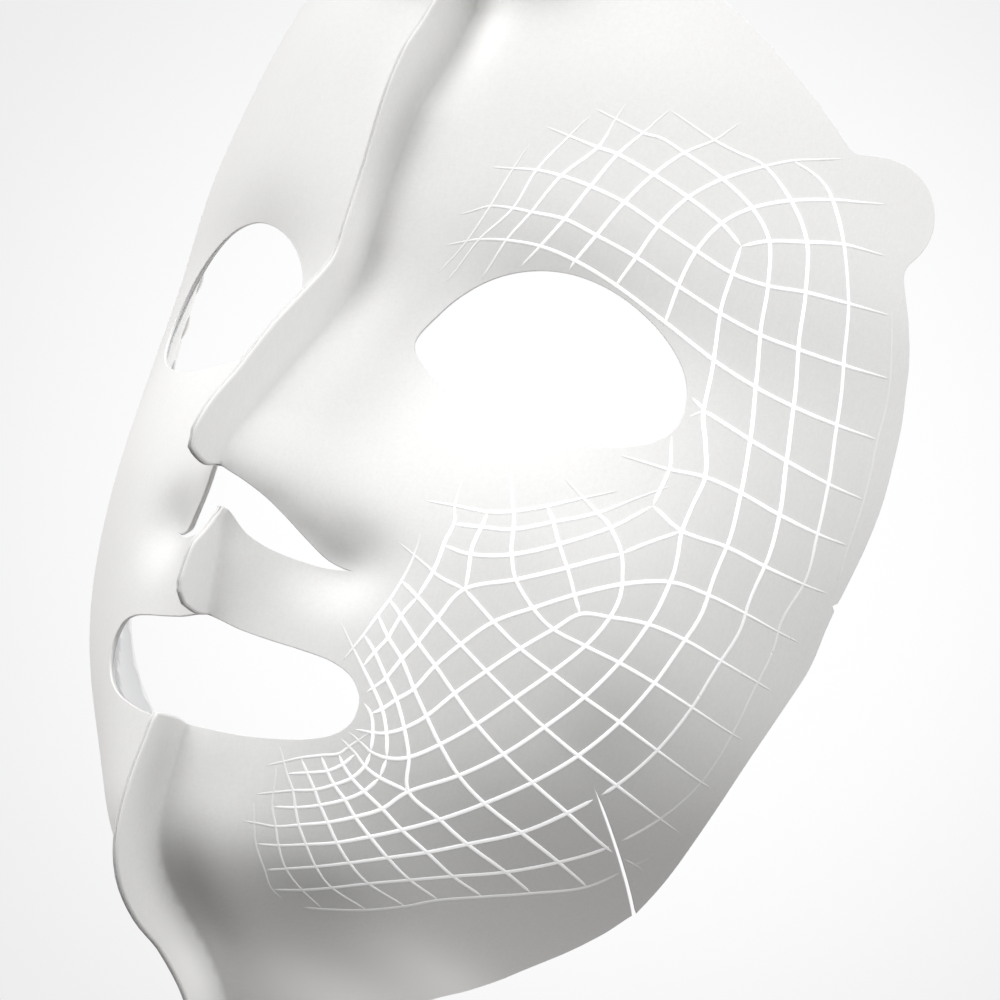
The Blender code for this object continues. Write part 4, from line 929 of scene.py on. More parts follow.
# The knots each strand runs through, by number
STRANDS = [
    [*range(13)], [*range(13, 26)], [*range(26, 38)], [*range(38, 45)],
    [*range(45, 52), 34, 22, 9, *range(52, 69)], [*range(69, 75), 35, 23, 10, *range(75, 92)],
    [*range(92, 96), 36, 24, 11, *range(96, 113)], [37, 25, 12, *range(113, 117)],
    [*range(117, 126)], [44, 33, 21, 8, *range(126, 146)], [*range(146, 152)], [152, 146],
    [*range(153, 160)], [*range(160, 165)], [*range(165, 170)],
    [170, 7, 20, 32, 43, 50, 73, 94, 171], [172, 6, 19, 31, 42, 49, 72, 92, 173],
    [174, 5, 18, 30, 41, 48, 70, 175], [176, 4, 17, 29, 40, 46, 177], [178, 3, 16, 28, 39, 45],
    [179, 2, 15, 27, 38], [180, 1, 14, 26], [44, 51, 74, 95, 181], [182, 126], [183, 126],
    [126, 52, 75, 96, 113], [184, 185, 128, 53, 76, 97, 114], [186, 130, 54, 77, 98, 115],
    [116, 99, 78, 55, 132, *range(187, 197)], [197, 100, 79, 56, 133, *range(198, 209)],
    [209, 101, 80, 57, 134, 210, 200, 189, 211, 212, 213, 214, 215],
    [216, 102, 81, 58, 135, 217, 201, 190, 218],
    [219, 103, 82, 59, 136, 220, 202, 191, 221, 222, 223],
    [117, 104, 83, 60, 137, 224, 203, 192, 225, 226, 227],
    [118, 105, 84, 61, 138, 228, 204, 193, 229, 230, 231],
    [119, 106, 85, 62, 139, 232, 205, 194, 233, 234, 235], [139, 146, 154, 160, 165],
    [120, 107, 86, 63, 140, 147, 155, 161, 166], [121, 108, 87, 64, 141, 148, 156, 162, 167],
    [122, 109, 88, 65, 142, 149, 157, 163, 168], [123, 110, 89, 66, 143, 150, 158, 164, 169],
    [124, 111, 90, 67, 144, 151, 159], [125, 112, 91, 68, 145], [130, 236],
    [237, 238, 239, 236, 187, 198, 210, 217, 220, 224, 228, 232, 152, 153, 240],
    [236, 241, 211, 218, 221, 225, 229, 233, 242, 243], [186, 239, 244, 212, 245, 246],
    [247, 238, 248, 213, 249, 250], [237, 251, 214, 252, 253], [199, 188, 241, 244, 248, 251],
    [218, 245, 249, 252], [218, 254, 255], [222, 256, 246, 250, 253],
    [152, 206, 195, 242, 257, 258], [153, 207, 196, 243], [222, 226, 230, 234, 257],
    [259, 223, 227, 231, 235, 258], [186, 185, 260],
]
RIB_HALF, RIB_HEIGHT = 0.30, 0.14
RIB_FOOT = 0.12         # depth to which the ribs' feet are sunk
# a rib's section: (share of half width, share of height; above 0 is the sunken foot)
RIB_PROFILE = [(-1.0, 0.10), (-0.96, -0.35), (-0.7, -0.80), (0.0, -1.0), (0.7, -0.80), (0.96, -0.35),
               (1.0, 0.10)]
LOOSE_END = 7           # how far a strand's loose end runs on past its last knot
THINNING = 15           # length over which a loose end thins out

rim_line = smooth(SIDE[::-1] + JAW[:-1][::-1] + BOTTOM[::-1], 1.0)
# how often each knot is met: 1 per strand that ends there, 2 per strand that passes through
meetings = {}
for strand in STRANDS:
    for k, knot in enumerate(strand):
        meetings[knot] = meetings.get(knot, 0) + (1 if k in (0, len(strand) - 1) else 2)


def fade(flat):
    """How strongly the lattice shows: full on the cheek, dying away to rim, brow and midline."""
    across, z = flat.T
    reach = 15 + 11 * smoothstep(-18, -40, z)
    shown = smoothstep(0.5, reach, distance_to(flat, rim_line, False))
    shown = shown * (1 - smoothstep(33, 48, z)) * smoothstep(10, 38, across)
    return np.clip(shown * smoothstep(-103, -82, z), 0, 1)


def strand_runs(strand, regions, keep_out):
    """One strand, smoothed and extended at its loose ends, cut into runs that each lie on one skin.

    Gives (region number from 1, points, free start, free end, thinning) for each run."""
    knots = [np.array(KNOTS[i]) for i in strand]
    loose_start, loose_end = meetings[strand[0]] <= 2, meetings[strand[-1]] <= 2
    full = list(knots)
    if loose_start:
        full.insert(0, knots[0] + unit(knots[0] - knots[1]) * LOOSE_END)
    if loose_end:
        full.append(knots[-1] + unit(knots[-1] - knots[-2]) * LOOSE_END)
    line = smooth(full, 0.55)
    run = run_along(line)
    thin = np.ones(len(line))
    if loose_start:
        thin *= smoothstep(0, THINNING, run)
    if loose_end:
        thin *= smoothstep(0, THINNING, run[-1] - run)
    owner = np.zeros(len(line), int)
    for k, loop in enumerate(regions):
        owner[inside(line, loop)] = k + 1
    for loop, gap, closed in keep_out:
        owner[distance_to(line, loop, closed) < gap] = 0
        if closed:
            owner[inside(line, loop)] = 0
    owner[fade(line) * thin < 0.02] = 0
    runs, start = [], 0
    for i in range(1, len(line) + 1):
        if i < len(line) and owner[i] == owner[start]:
            continue
        if owner[start]:
            points, fine = line[start:i], thin[start:i]
            free_start = not (start > 0 and owner[start - 1])
            free_end = not (i < len(line) and owner[i])
            if not free_start:
                points = np.vstack([(line[start - 1] + line[start]) / 2, points])
                fine = np.concatenate([fine[:1], fine])
            if not free_end:
                points = np.vstack([points, (line[i - 1] + line[i]) / 2])
                fine = np.concatenate([fine, fine[-1:]])
            if len(points) > 3:
                runs.append((owner[start], points, free_start, free_end, fine))
        start = i
    return runs


def rib_mesh(runs):
    """Half-round ribs, as flat points, their depths, their fade and faces."""
    points, depths, fades, faces, total = [], [], [], [], 0
    sides = len(RIB_PROFILE)
    for line, free_start, free_end, fine in runs:
        count = len(line)
        along = np.gradient(line, axis=0)
        along /= np.linalg.norm(along, axis=1)[:, None]
        across = np.stack([along[:, 1], -along[:, 0]], 1)
        run = run_along(line)
        shown = fade(line) * fine
        taper = np.ones(count)
        if free_start:
            taper *= np.clip(run / 1.2, 0.08, 1)
        if free_end:
            taper *= np.clip((run[-1] - run) / 1.2, 0.08, 1)
        half = RIB_HALF * (0.55 + 0.45 * shown) * taper
        height = RIB_HEIGHT * (0.25 + 0.75 * shown) * taper
        for x, y in RIB_PROFILE:
            points.append(line + across * (x * half)[:, None])
            depths.append(np.where(y > 0, RIB_FOOT, y * height))
            fades.append(shown)
        for i in range(count - 1):
            for k in range(sides):
                here, beside = total + k * count + i, total + (k + 1) % sides * count + i
                faces.append((here, here + 1, beside + 1, beside))
        ring = [total + k * count for k in range(sides)]
        faces.append(tuple(ring))
        faces.append(tuple(i + count - 1 for i in reversed(ring)))
        total += sides * count
    return np.vstack(points), np.concatenate(depths), np.concatenate(fades), faces


def build_lattice():
    mat = lattice_material()
    slit_middle = (np.array(SLIT_END) + SLIT_MOUTH) / 2 + flap_fold.along * SLIT_BOW
    # lines the ribs keep clear of: line, gap, whether it is a closed opening
    keep_out = [(eye, 0.5, True), (resample([SLIT_END, slit_middle, SLIT_MOUTH], 0.5), 0.65, False),
                (smooth(MOUTH_LOW, 0.5), 0.7, False), (smooth(MOUTH_TOP, 0.5), 0.7, False)]
    runs_of = {1: [], 2: [], 3: []}
    for strand in STRANDS:
        for owner, *run in strand_runs(strand, [outline, flap_loop, tab_loop], keep_out):
            runs_of[owner].append(run)
    for owner, part in enumerate(("lattice", "jaw_flap", "ear_tab"), 1):
        if not runs_of[owner]:
            continue
        flat, depths, shown, faces = rib_mesh(runs_of[owner])
        ribs = make(f"{part}_lines_left", place(flat, depths, FLANK_X), faces, mat)
        set_attributes(ribs, fade=shown)
        if part == "lattice":
            settle(ribs, "mask", None)
        else:
            settle(ribs, f"{part}_left", None, blend=bend_ends(part, "left"))


build_lattice()


# ================================================================= moulded materials
def moulded(name, base, rough, metal=0.0, scale=700, mottle=0.04, bump=0.05, coat=0.0, soft=0.0,
            glow=0.0, colour=None, painted_edge_glow=0.0):
    """A moulded or metal surface: faint mottle in colour and gloss, fine surface grain, and, if asked, a
    painted glow at grazing angles.
    """
    mat, tree, shader = new_material(name)
    fine, broad = noise(tree, scale * 4, detail=4.0), noise(tree, scale / 8)
    blotch = maths(tree, "MULTIPLY_ADD", broad, 0.6, maths(tree, "MULTIPLY", fine, 0.4))
    low = tuple(c * (1 - mottle) for c in base)
    high = tuple(min(c * (1 + mottle), 1.0) for c in base)
    plain = mix_colour(tree, ease(tree, blotch, zero=0.3, one=0.7), low, high)
    feed(tree, shader, {
        "Base Color": colour(tree, plain) if colour else plain,
        "Roughness": maths(tree, "MULTIPLY_ADD", broad, 0.14, rough - 0.07),
        "Metallic": metal,
        "Coat Weight": coat,
        "Coat Roughness": 0.12,
        "Normal": bumped(tree, fine, strength=bump, distance=0.00008),
    })
    if soft:
        feed(tree, shader, {"Subsurface Weight": soft, "Subsurface Scale": 1.0,
                            "Subsurface Radius": (0.0012, 0.0010, 0.0009)})
    if glow:
        feed(tree, shader, {"Emission Color": (0.85, 1.0, 0.92, 1), "Emission Strength": glow})
    if painted_edge_glow:
        # painted light: a glow that makes the milky silicone paler the more steeply it turns away
        turned = add_node(tree, "LayerWeight", {"Blend": 0.5}).outputs["Facing"]
        edge = ease(tree, turned, zero=0.55, one=0.9)
        feed(tree, shader, {"Emission Color": (1.0, 1.0, 0.99, 1),
                            "Emission Strength": maths(tree, "MULTIPLY", edge, painted_edge_glow)})
    return mat


def package_colour(tree, ground):
    """A light package from the front: white ceramic square, round cup, two chips on gold pads."""
    x, y, on_package = (attribute(tree, name) for name in ("lu", "lv", "led"))
    side_x, side_y = maths(tree, "ABSOLUTE", x), maths(tree, "ABSOLUTE", y)
    square = ease(tree, maths(tree, "MAXIMUM", side_x, side_y), zero=1.66, one=1.56)
    squares = maths(tree, "ADD", maths(tree, "MULTIPLY", x, x), maths(tree, "MULTIPLY", y, y))
    radius = maths(tree, "SQRT", squares)
    cup = ease(tree, radius, zero=1.24, one=1.12)
    rim = maths(tree, "MULTIPLY", ease(tree, radius, zero=1.02, one=1.14), cup)

    def pair(half_x, half_y):
        """Two rectangles, mirrored either side of the middle; each half is (zero, one)."""
        off = maths(tree, "ABSOLUTE", maths(tree, "SUBTRACT", side_x, 0.42))
        return maths(tree, "MULTIPLY", ease(tree, off, *half_x), ease(tree, side_y, *half_y))

    pads = pair((0.34, 0.30), (0.55, 0.50))
    chips = pair((0.22, 0.18), (0.22, 0.18))
    # mask, strength, colour
    for mask, strength, paint in ((square, 1, (0.90, 0.90, 0.88)), (cup, 1, (0.86, 0.80, 0.62)),
                                  (rim, 0.6, (0.55, 0.55, 0.54)), (pads, 0.85, (0.78, 0.58, 0.26)),
                                  (chips, 1, (0.16, 0.12, 0.13))):
        factor = maths(tree, "MULTIPLY", mask, on_package)
        if strength < 1:
            factor = maths(tree, "MULTIPLY", factor, strength)
        ground = mix_colour(tree, factor, ground, paint)
    return ground


def trace_colour(pitch, half, copper):
    """Copper tracks of the given half width along a tape."""
    def colour(tree, ground):
        across = maths(tree, "ABSOLUTE", attribute(tree, "across"))
        track = maths(tree, "PINGPONG", across, pitch)
        shown = maths(tree, "MULTIPLY", ease(tree, track, zero=half + 0.06, one=half - 0.02), 0.7)
        return mix_colour(tree, shown, ground, copper)
    return colour


def tape_colour(tree, ground):
    tracks = trace_colour(pitch=1.05, half=0.16, copper=(0.80, 0.66, 0.42))
    return package_colour(tree, tracks(tree, ground))


def board_colour(tree, ground):
    brick = add_node(tree, "TexBrick", {
        "Scale": 520, "Mortar Size": 0.06, "Vector": coordinates(tree), "Color1": (0, 0, 0, 1),
        "Color2": (0.15, 0.15, 0.15, 1), "Mortar": (1, 1, 1, 1)}).outputs["Color"]
    return mix_colour(tree, maths(tree, "MULTIPLY", brick, 0.35), ground, (0.14, 0.42, 0.24))


# the silicone, the light windows and the seal beads carry a painted glow towards grazing angles
SILICONE_MAT = moulded("silicone", (0.80, 0.81, 0.82), rough=0.42, scale=420, mottle=0.02, coat=0.12,
                       soft=0.12, painted_edge_glow=0.34)
WINDOW_MAT = moulded("light_window", (0.84, 0.85, 0.86), rough=0.20, scale=300, mottle=0.015,
                     bump=0.01, coat=1.0, colour=package_colour, painted_edge_glow=0.34)
SEAL_MAT = moulded("seal_bead", (0.78, 0.79, 0.80), rough=0.5, scale=300, mottle=0.03, bump=0.08,
                   soft=0.1, painted_edge_glow=0.30)
TAPE_MAT = moulded("led_tape", (0.88, 0.87, 0.82), rough=0.42, scale=900, mottle=0.02, bump=0.03,
                   coat=0.2, colour=tape_colour)
BUS_MAT = moulded("bus_tape", (0.62, 0.40, 0.17), rough=0.34, scale=900, mottle=0.06, bump=0.03,
                  coat=0.5, colour=trace_colour(pitch=0.45, half=0.13, copper=(0.86, 0.62, 0.40)))
FILM_MAT = moulded("seam_film", (0.80, 0.80, 0.78), rough=0.55, scale=1200, mottle=0.05, bump=0.15)
SHELL_MAT = moulded("pod_shell", (0.86, 0.86, 0.85), rough=0.34, scale=1500, mottle=0.015, bump=0.10,
                    coat=0.15)
BUTTON_MAT = moulded("pod_button", (0.78, 0.79, 0.80), rough=0.36, scale=1500, mottle=0.02, bump=0.10)
PORT_MAT = moulded("port_silicone", (0.80, 0.80, 0.79), rough=0.5, scale=900, mottle=0.02, bump=0.08,
                   soft=0.1)
LENS_MAT = moulded("status_lens", (0.86, 0.93, 0.94), rough=0.08, scale=400, mottle=0.01, bump=0.01,
                   coat=1.0, glow=0.35)
METAL_MAT = moulded("socket_metal", (0.74, 0.75, 0.77), rough=0.26, metal=1.0, scale=1800, mottle=0.05)
CELL_MAT = moulded("cell_foil", (0.62, 0.64, 0.66), rough=0.36, metal=0.9, scale=500, mottle=0.06,
                   bump=0.2)
GOLD_MAT = moulded("contacts", (0.90, 0.70, 0.34), rough=0.25, metal=1.0, scale=1800, bump=0.03)
DARK_MAT = moulded("dark_plastic", (0.035, 0.036, 0.038), rough=0.4, scale=1500, mottle=0.2, bump=0.08)
BOARD_MAT = moulded("board", (0.03, 0.17, 0.085), rough=0.36, scale=900, mottle=0.08, bump=0.03,
                    coat=0.4, colour=board_colour)

# ================================================================= inside the mask
# name: path in the flat pattern, pitch of its lights
TAPES = {
    "forehead": ([(9, 58), (24, 57), (40, 54), (55, 48.5), (67, 41)], 9.4),
    "brow": ([(9, 36), (24, 32.5), (40, 31), (56, 29), (71, 23.5)], 9.4),
    "temple": ([(80, 26), (83.5, 12), (87.5, -2), (92, -15)], 9.0),
    "under_eye": ([(26, -23), (38, -26.5), (52, -27.5), (66, -26.5), (81, -23)], 9.4),
    "cheek": ([(36, -44), (50, -45.5), (64, -44.5), (78, -41), (90, -34.5)], 9.4),
    "jaw": ([(42, -64), (51, -63.5), (60, -62), (69, -59.0)], 9.0),
    "chin": ([(9, -85.5), (24, -86.5), (40, -87), (55, -84.5), (66, -79.5)], 9.6),
}
BUS = [(5.5, 66.0), (22, 63.5), (38, 58), (52, 50.5), (64, 42), (74, 33), (79.5, 26), (84, 20),
       (86.5, 6), (90.5, -8), (95, -20), (92.5, -32), (84, -43), (73, -54), (64.5, -63), (61, -74),
       (52, -86), (38, -95)]
# where the points of each band lie across its line
BEAD_COLUMNS = np.linspace(-2.2, 2.2, 7)
BUS_COLUMNS = [-2.1, -1.8, -0.9, 0, 0.9, 1.8, 2.1]
TAPE_COLUMNS = [-2.5, -2.2, -1.1, 0, 1.1, 2.2, 2.5]
BUS_DEPTHS = (0.95, 1.15)           # outer and inner face
BEAD_DEPTH = 0.64                   # outer face
PAD_LAYER = (0.66, 1.30, 0.30, 0.30)
SKIN_X, STRIP_X = 0.30, 0.45        # nearest to x = 0 that skins and strips come
SEAL_INSET = 3.4                    # from the rim to the middle of a seal bead
SKIN_INSET = 0.42                   # from the cover's rim to the inner skin's
PAD_CLEAR, PAD_INSET = 3.7, 0.9     # gaps from a pad to its hinge line and to its flap's rim
PACKAGE_STATIONS = np.array([-1.6, -1.5, -1.1, -0.55, 0, 0.55, 1.1, 1.5, 1.6])
PACKAGE_TOP, PACKAGE_FOOT = 2.4, 1.66
WINDOW_RADIUS, WINDOW_HEIGHT = 2.5, 0.55
WINDOW_RINGS, WINDOW_SPOKES = 9, 28

eye_loop = counterclockwise(eye)
rim_points = np.vstack([outline[outline[:, 0] > 1.3], eye_loop])


def rim_distance(flat):
    flat = np.asarray(flat, float)
    out = np.empty(len(flat))
    for k in range(0, len(flat), 1500):
        gaps = flat[k : k + 1500, None] - rim_points[None]
        out[k : k + 1500] = np.sqrt((gaps**2).sum(-1)).min(1)
    return out


def skin_outer(distance):
    return 0.70 + 1.76 * smoothstep(1.5, 12.5, distance)


def skin_inner(distance):
    return 1.05 + 1.87 * smoothstep(1.0, 12.5, distance)


def under_skin(flat):
    return np.maximum(skin_outer(rim_distance(flat)) - 0.03, 0.665)


def tape_inner(flat):
    """The tapes' ends dip with the silicone as it thins towards the rim."""
    return np.clip(skin_inner(rim_distance(flat)) - 0.24, 0.95, 1.7)


def tape_outer(flat):
    return tape_inner(flat) - 0.2


def constant(depth):
    return lambda flat: np.full(len(flat), float(depth))


def liner_region():
    """The inner skin's region: the panel without its fin, drawn in a little."""
    ring = outline.copy()
    ring[:, 0] = np.where(ring[:, 0] < 0.9, 0, ring[:, 0])
    ring = tidy(ring)
    off_centre = np.clip(ring[:, 0], 0, 1)[:, None]
    ring = tidy(ring - outward(ring) * SKIN_INSET * off_centre)
    ring[:, 0] = np.maximum(ring[:, 0], 0)
    return triangulate(ring, [eye_loop + outward(eye_loop) * SKIN_INSET], 1.9)


def pad_region(loop, fold):
    """The part of a flap or tab well past its hinge line, drawn in."""
    square = np.array([fold.along[1], -fold.along[0]])
    square *= np.sign(square @ fold.away)
    past = (loop - fold.low) @ square > PAD_CLEAR
    first = [i for i in range(len(loop)) if past[i] and not past[i - 1]][0]
    kept = np.roll(loop, -first, 0)[np.roll(past, -first)]
    loop = tidy(np.vstack([kept, resample([kept[-1], kept[0]], 1.1)[1:-1]]))
    inner = loop - outward(loop) * PAD_INSET
    inner = inner[distance_to(inner, loop) > PAD_INSET * 0.93]
    return triangulate(tidy(inner, 0.4), [], 1.5)


def edge_seal_line():
    """The outer rim from the chin to the crown, moved in by the seal's inset."""
    start = int(np.argmin(np.hypot(outline[:, 0] - 6, outline[:, 1] + 119.5)))
    stop = int(np.argmin(np.hypot(outline[:, 0] - 9, outline[:, 1] - 77.4)))
    count = (stop - start) % len(outline) + 1
    line = np.roll(outline - outward(outline) * SEAL_INSET, -start, 0)[:count]
    line = line[rim_distance(line) > 3.2]
    soften(line, 3)
    return resample(line, 1.3)


def strip(line, columns, outer, inner, closed=False):
    """A band along a flat path, as (points, faces, distance across of each point)."""
    rows, width = len(line), len(columns)
    along = (np.roll(line, -1, 0) - np.roll(line, 1, 0)) if closed else np.gradient(line, axis=0)
    along /= np.maximum(np.linalg.norm(along, axis=1), 1e-9)[:, None]
    across = np.stack([-along[:, 1], along[:, 0]], 1)
    flat = (line[:, None] + across[:, None] * np.array(columns)[None, :, None]).reshape(-1, 2)
    flat[:, 0] = np.maximum(flat[:, 0], 0)
    points = np.vstack([place(flat, outer(flat), STRIP_X), place(flat, inner(flat), STRIP_X)])
    under = rows * width

    def index(i, j):
        return (i % rows) * width + j

    faces = []
    for i in range(rows if closed else rows - 1):
        for j in range(width - 1):
            quad = (index(i, j), index(i, j + 1), index(i + 1, j + 1), index(i + 1, j))
            faces += [quad, tuple(k + under for k in reversed(quad))]
        for start, end in ((index(i, 0), index(i + 1, 0)),
                           (index(i + 1, width - 1), index(i, width - 1))):
            faces.append((start, end, end + under, start + under))
    if not closed:
        for i in (0, rows - 1):
            row = [index(i, j) for j in range(width)]
            faces.append(tuple(row) + tuple(k + under for k in reversed(row)))
    return points, faces, np.tile(np.array(columns, float), 2 * rows)


def led_stops(path, pitch):
    """Place of each light on a tape, with the turn from its own axes to the flat pattern's."""
    line = smooth(path, 0.5)
    run = run_along(line)
    count = int((run[-1] - 5.6) // pitch) + 1
    first = (run[-1] - pitch * (count - 1)) / 2
    out = []
    for k in range(count):
        here = first + pitch * k
        along = unit(points_at(here + 0.6, run, line) - points_at(here - 0.6, run, line))
        out.append((points_at(here, run, line), np.array([along, [-along[1], along[0]]])))
    return out


def package(centre, axes):
    """One light package on its tape, a soft-edged square block: 3D points, faces, local points."""
    count = len(PACKAGE_STATIONS)
    local = np.array([(x, y) for x in PACKAGE_STATIONS for y in PACKAGE_STATIONS])
    edge = np.maximum(np.abs(local[:, 0]), np.abs(local[:, 1]))
    well = smoothstep(1.18, 1.0, np.hypot(local[:, 0], local[:, 1]))
    depth = PACKAGE_TOP - 0.12 * (edge > 1.55) - 0.10 * well
    base = count * count
    rim = [*range(0, base, count), *range(base - count + 1, base),
           *range(base - count - 1, 0, -count), *range(count - 2, 0, -1)]
    low = local[rim]
    points = np.vstack([place(centre + local @ axes, depth, STRIP_X),
                        place(centre + low @ axes, np.full(len(low), PACKAGE_FOOT), STRIP_X)])
    corners = [i * count + j for i in range(count - 1) for j in range(count - 1)]
    faces = [(k, k + count, k + count + 1, k + 1) for k in corners]
    sides = len(rim)
    faces += [(rim[k], rim[(k + 1) % sides], base + (k + 1) % sides, base + k) for k in range(sides)]
    faces.append(tuple(base + k for k in range(sides)))
    return points, faces, np.vstack([local, low])


def window(centre, axes):
    """One clear dome standing on the inner skin over a light package."""
    foot = float(skin_inner(rim_distance([centre]))[0]) - 0.12
    rings, spokes = WINDOW_RINGS, WINDOW_SPOKES
    local = [(0.0, 0.0)]
    for k in range(1, rings + 1):
        radius = WINDOW_RADIUS * math.sin(math.pi / 2 * k / rings)
        turns = [2 * math.pi * i / spokes for i in range(spokes)]
        local += [(radius * math.cos(turn), radius * math.sin(turn)) for turn in turns]
    local = np.array(local)
    share = np.hypot(local[:, 0], local[:, 1]) / WINDOW_RADIUS
    depth = foot + 0.08 + WINDOW_HEIGHT * np.sqrt(np.clip(1 - share**2, 0, 1)) ** 1.3
    low = local[-spokes:]
    points = np.vstack([place(centre + local @ axes, depth, SKIN_X),
                        place(centre + low @ axes, np.full(spokes, foot - 0.25), SKIN_X)])

    def index(k, i):
        return 1 + (k - 1) * spokes + i % spokes

    faces = [(0, index(1, i), index(1, i + 1)) for i in range(spokes)]
    for k in range(1, rings):
        faces += [(index(k, i), index(k + 1, i), index(k + 1, i + 1), index(k, i + 1))
                  for i in range(spokes)]
    base = len(local)
    faces += [(index(rings, i), base + i, base + (i + 1) % spokes, index(rings, i + 1))
              for i in range(spokes)]
    faces.append(tuple(base + i for i in reversed(range(spokes))))
    return points, faces, np.vstack([local, low])


def gather(parts):
    """Joins (points, faces, local points) parts into one."""
    all_points, all_faces, all_local, total = [], [], [], 0
    for points, faces, local in parts:
        all_points.append(points)
        all_faces += [tuple(i + total for i in f) for f in faces]
        all_local.append(local)
        total += len(points)
    return np.vstack(all_points), all_faces, np.vstack(all_local)


def build_tape(tape, side, word):
    """A light tape with its packages. Gives the places of its lights."""
    path, pitch = TAPES[tape]
    points, faces, across = strip(smooth(path, 0.9), TAPE_COLUMNS, tape_outer, tape_inner)
    stops = led_stops(path, pitch)
    band = len(points)
    points, faces, local = gather([(points, faces, np.zeros((band, 2)))]
                                  + [package(*stop) for stop in stops])
    obj = solid(f"led_circuit_{tape}_{word}", points, faces, TAPE_MAT, side, sharp=35)
    # 0.52 lies between the tape's tracks
    set_attributes(obj, lu=local[:, 0], lv=local[:, 1], led=(np.arange(len(points)) >= band) * 1.0,
                   across=np.concatenate([across, np.full(len(points) - band, 0.52)]))
    settle(obj, "mask", f"led_tape_{tape}_{word}")
    return stops


liner = liner_region()
liner_distance = rim_distance(liner[0])
liner_layer = (skin_outer(liner_distance), skin_inner(liner_distance), SKIN_X, SKIN_X)
pad_regions = {"jaw_flap": pad_region(flap_loop, flap_fold), "ear_tab": pad_region(tab_loop, tab_fold)}
seals = [("edge_seal", edge_seal_line(), False),
         ("eye_seal", eye_loop + outward(eye_loop) * SEAL_INSET, True)]

for side, word in HALVES:
    skin = sheet(f"inner_skin_{word}", liner, liner_layer, side, SILICONE_MAT)
    settle(skin, "mask", f"liner_{word}")
    for name, line, closed in seals:
        points, faces, _ = strip(line, BEAD_COLUMNS, constant(BEAD_DEPTH), under_skin, closed)
        bead = solid(f"{name}_bead_{word}", points, faces, SEAL_MAT, side)
        settle(bead, "mask", f"{name}_{word}")
    points, faces, across = strip(smooth(BUS, 1.1), BUS_COLUMNS, *map(constant, BUS_DEPTHS))
    bus = solid(f"bus_circuit_{word}", points, faces, BUS_MAT, side, sharp=35)
    set_attributes(bus, across=across)
    settle(bus, "mask", f"bus_tape_{word}")
    stops = []
    for tape in TAPES:
        stops += build_tape(tape, side, word)
    points, faces, local = gather([window(*stop) for stop in stops])
    panes = solid(f"light_windows_{word}", points, faces, WINDOW_MAT, side, sharp=60)
    set_attributes(panes, lu=local[:, 0], lv=local[:, 1], led=np.ones(len(points)))
    settle(panes, "mask", None)
    for part, region in pad_regions.items():
        pad = sheet(f"{part}_inner_skin_{word}", region, PAD_LAYER, side, SILICONE_MAT)
        settle(pad, f"{part}_{word}", f"{part}_pad_{word}")

# ================================================================= control pod
# In the pod's own frame: x across, y up along the crease, z out from the forehead.
POD_HEIGHT = 70.0                   # where the pod sits on the crease, design z
POD_X, POD_Y = 20.0, 7.2            # half sizes
BASE_Z, FRONT_Z = 2.0, 7.6
WALL = 1.0
FRONT_EDGE = 1.25                   # rounding of the front edge
PORT_HALF, PORT_Z = 4.7, (3.1, 6.3)
LIGHT_X = 8.5
SOCKET_X = -18.5                    # mouth of the socket
LID_X = -POD_X - 0.35               # inner face of the lid's plate
LID_ROUND = 0.55                    # rounding of the lid's outer edge


def crease_point(z):
    return np.array([0.0, float(np.interp(z, ZS, CREASE_Y)), z])


POD_UP = crease_point(POD_HEIGHT + 5) - crease_point(POD_HEIGHT - 5)
POD_UP /= np.linalg.norm(POD_UP)
POD_ORIGIN = crease_point(POD_HEIGHT)
POD_OUT = np.array([0, -POD_UP[2], POD_UP[1]])
POD_AXES = np.array([[1, 0, 0], POD_UP, POD_OUT])


def skin_z(x, y):
    """How far out the mask's surface lies at a place under the pod."""
    z = 0.0
    for _ in range(6):
        height = POD_ORIGIN[2] + y * POD_UP[2] + z * POD_OUT[2]
        i = np.interp(height, ZS, np.arange(len(ZS)))
        k = int(i)
        row = TABLE[k] * (1 - i + k) + TABLE[k + 1] * (i - k)
        z = (np.interp(abs(x), row[:, 0], row[:, 1]) - POD_ORIGIN[1] - y * POD_UP[1]) / POD_OUT[1]
    return z


def rounded(half_x, half_y, radius, steps=12):
    """A rectangle with rounded corners."""
    x, y = half_x - radius, half_y - radius
    out = []
    for corner_x, corner_y, start in ((x, y, 0), (-x, y, 90), (-x, -y, 180), (x, -y, 270)):
        for i in range(steps + 1):
            angle = math.radians(start + 90 * i / steps)
            out.append((corner_x + radius * math.cos(angle), corner_y + radius * math.sin(angle)))
    return out


def disc(centre_x, radius, count=64):
    angles = [2 * math.pi * i / count for i in range(count)]
    return [(centre_x + radius * math.cos(turn), radius * math.sin(turn)) for turn in angles]


def ring_at(shape, z, move_x=0.0, move_y=0.0):
    return [(x + move_x, y + move_y, z) for x, y in shape]


def upright(x, half_y, low_z, high_z, radius, y=0, steps=8):
    """Rounded rectangle square to the pod's length, at x."""
    shape = rounded(half_y, (high_z - low_z) / 2, radius, steps)
    return [(x, y + over, (low_z + high_z) / 2 + up) for over, up in shape]


def loft(name, rings, mat, sharp=32):
    """A closed solid through rings of pod points."""
    count, last = len(rings[0]), len(rings) - 1
    faces = []
    for k in range(last):
        for i in range(count):
            j = (i + 1) % count
            faces.append((k * count + i, k * count + j, (k + 1) * count + j, (k + 1) * count + i))
    faces += [tuple(range(count))[::-1], tuple(last * count + i for i in range(count))]
    return solid(name, POD_ORIGIN + np.vstack(rings) @ POD_AXES, faces, mat, sharp=sharp)


def straight(name, shape, low_z, high_z):
    """A cutting tool of constant section along z."""
    return loft(name, [ring_at(shape, low_z), ring_at(shape, high_z)], SHELL_MAT)


def quarter(steps, first=0):
    """(1 - cos, 1 - sin) round a quarter turn."""
    angles = [math.pi / 2 * k / steps for k in range(first, steps + 1)]
    return [(1 - math.cos(turn), 1 - math.sin(turn)) for turn in angles]


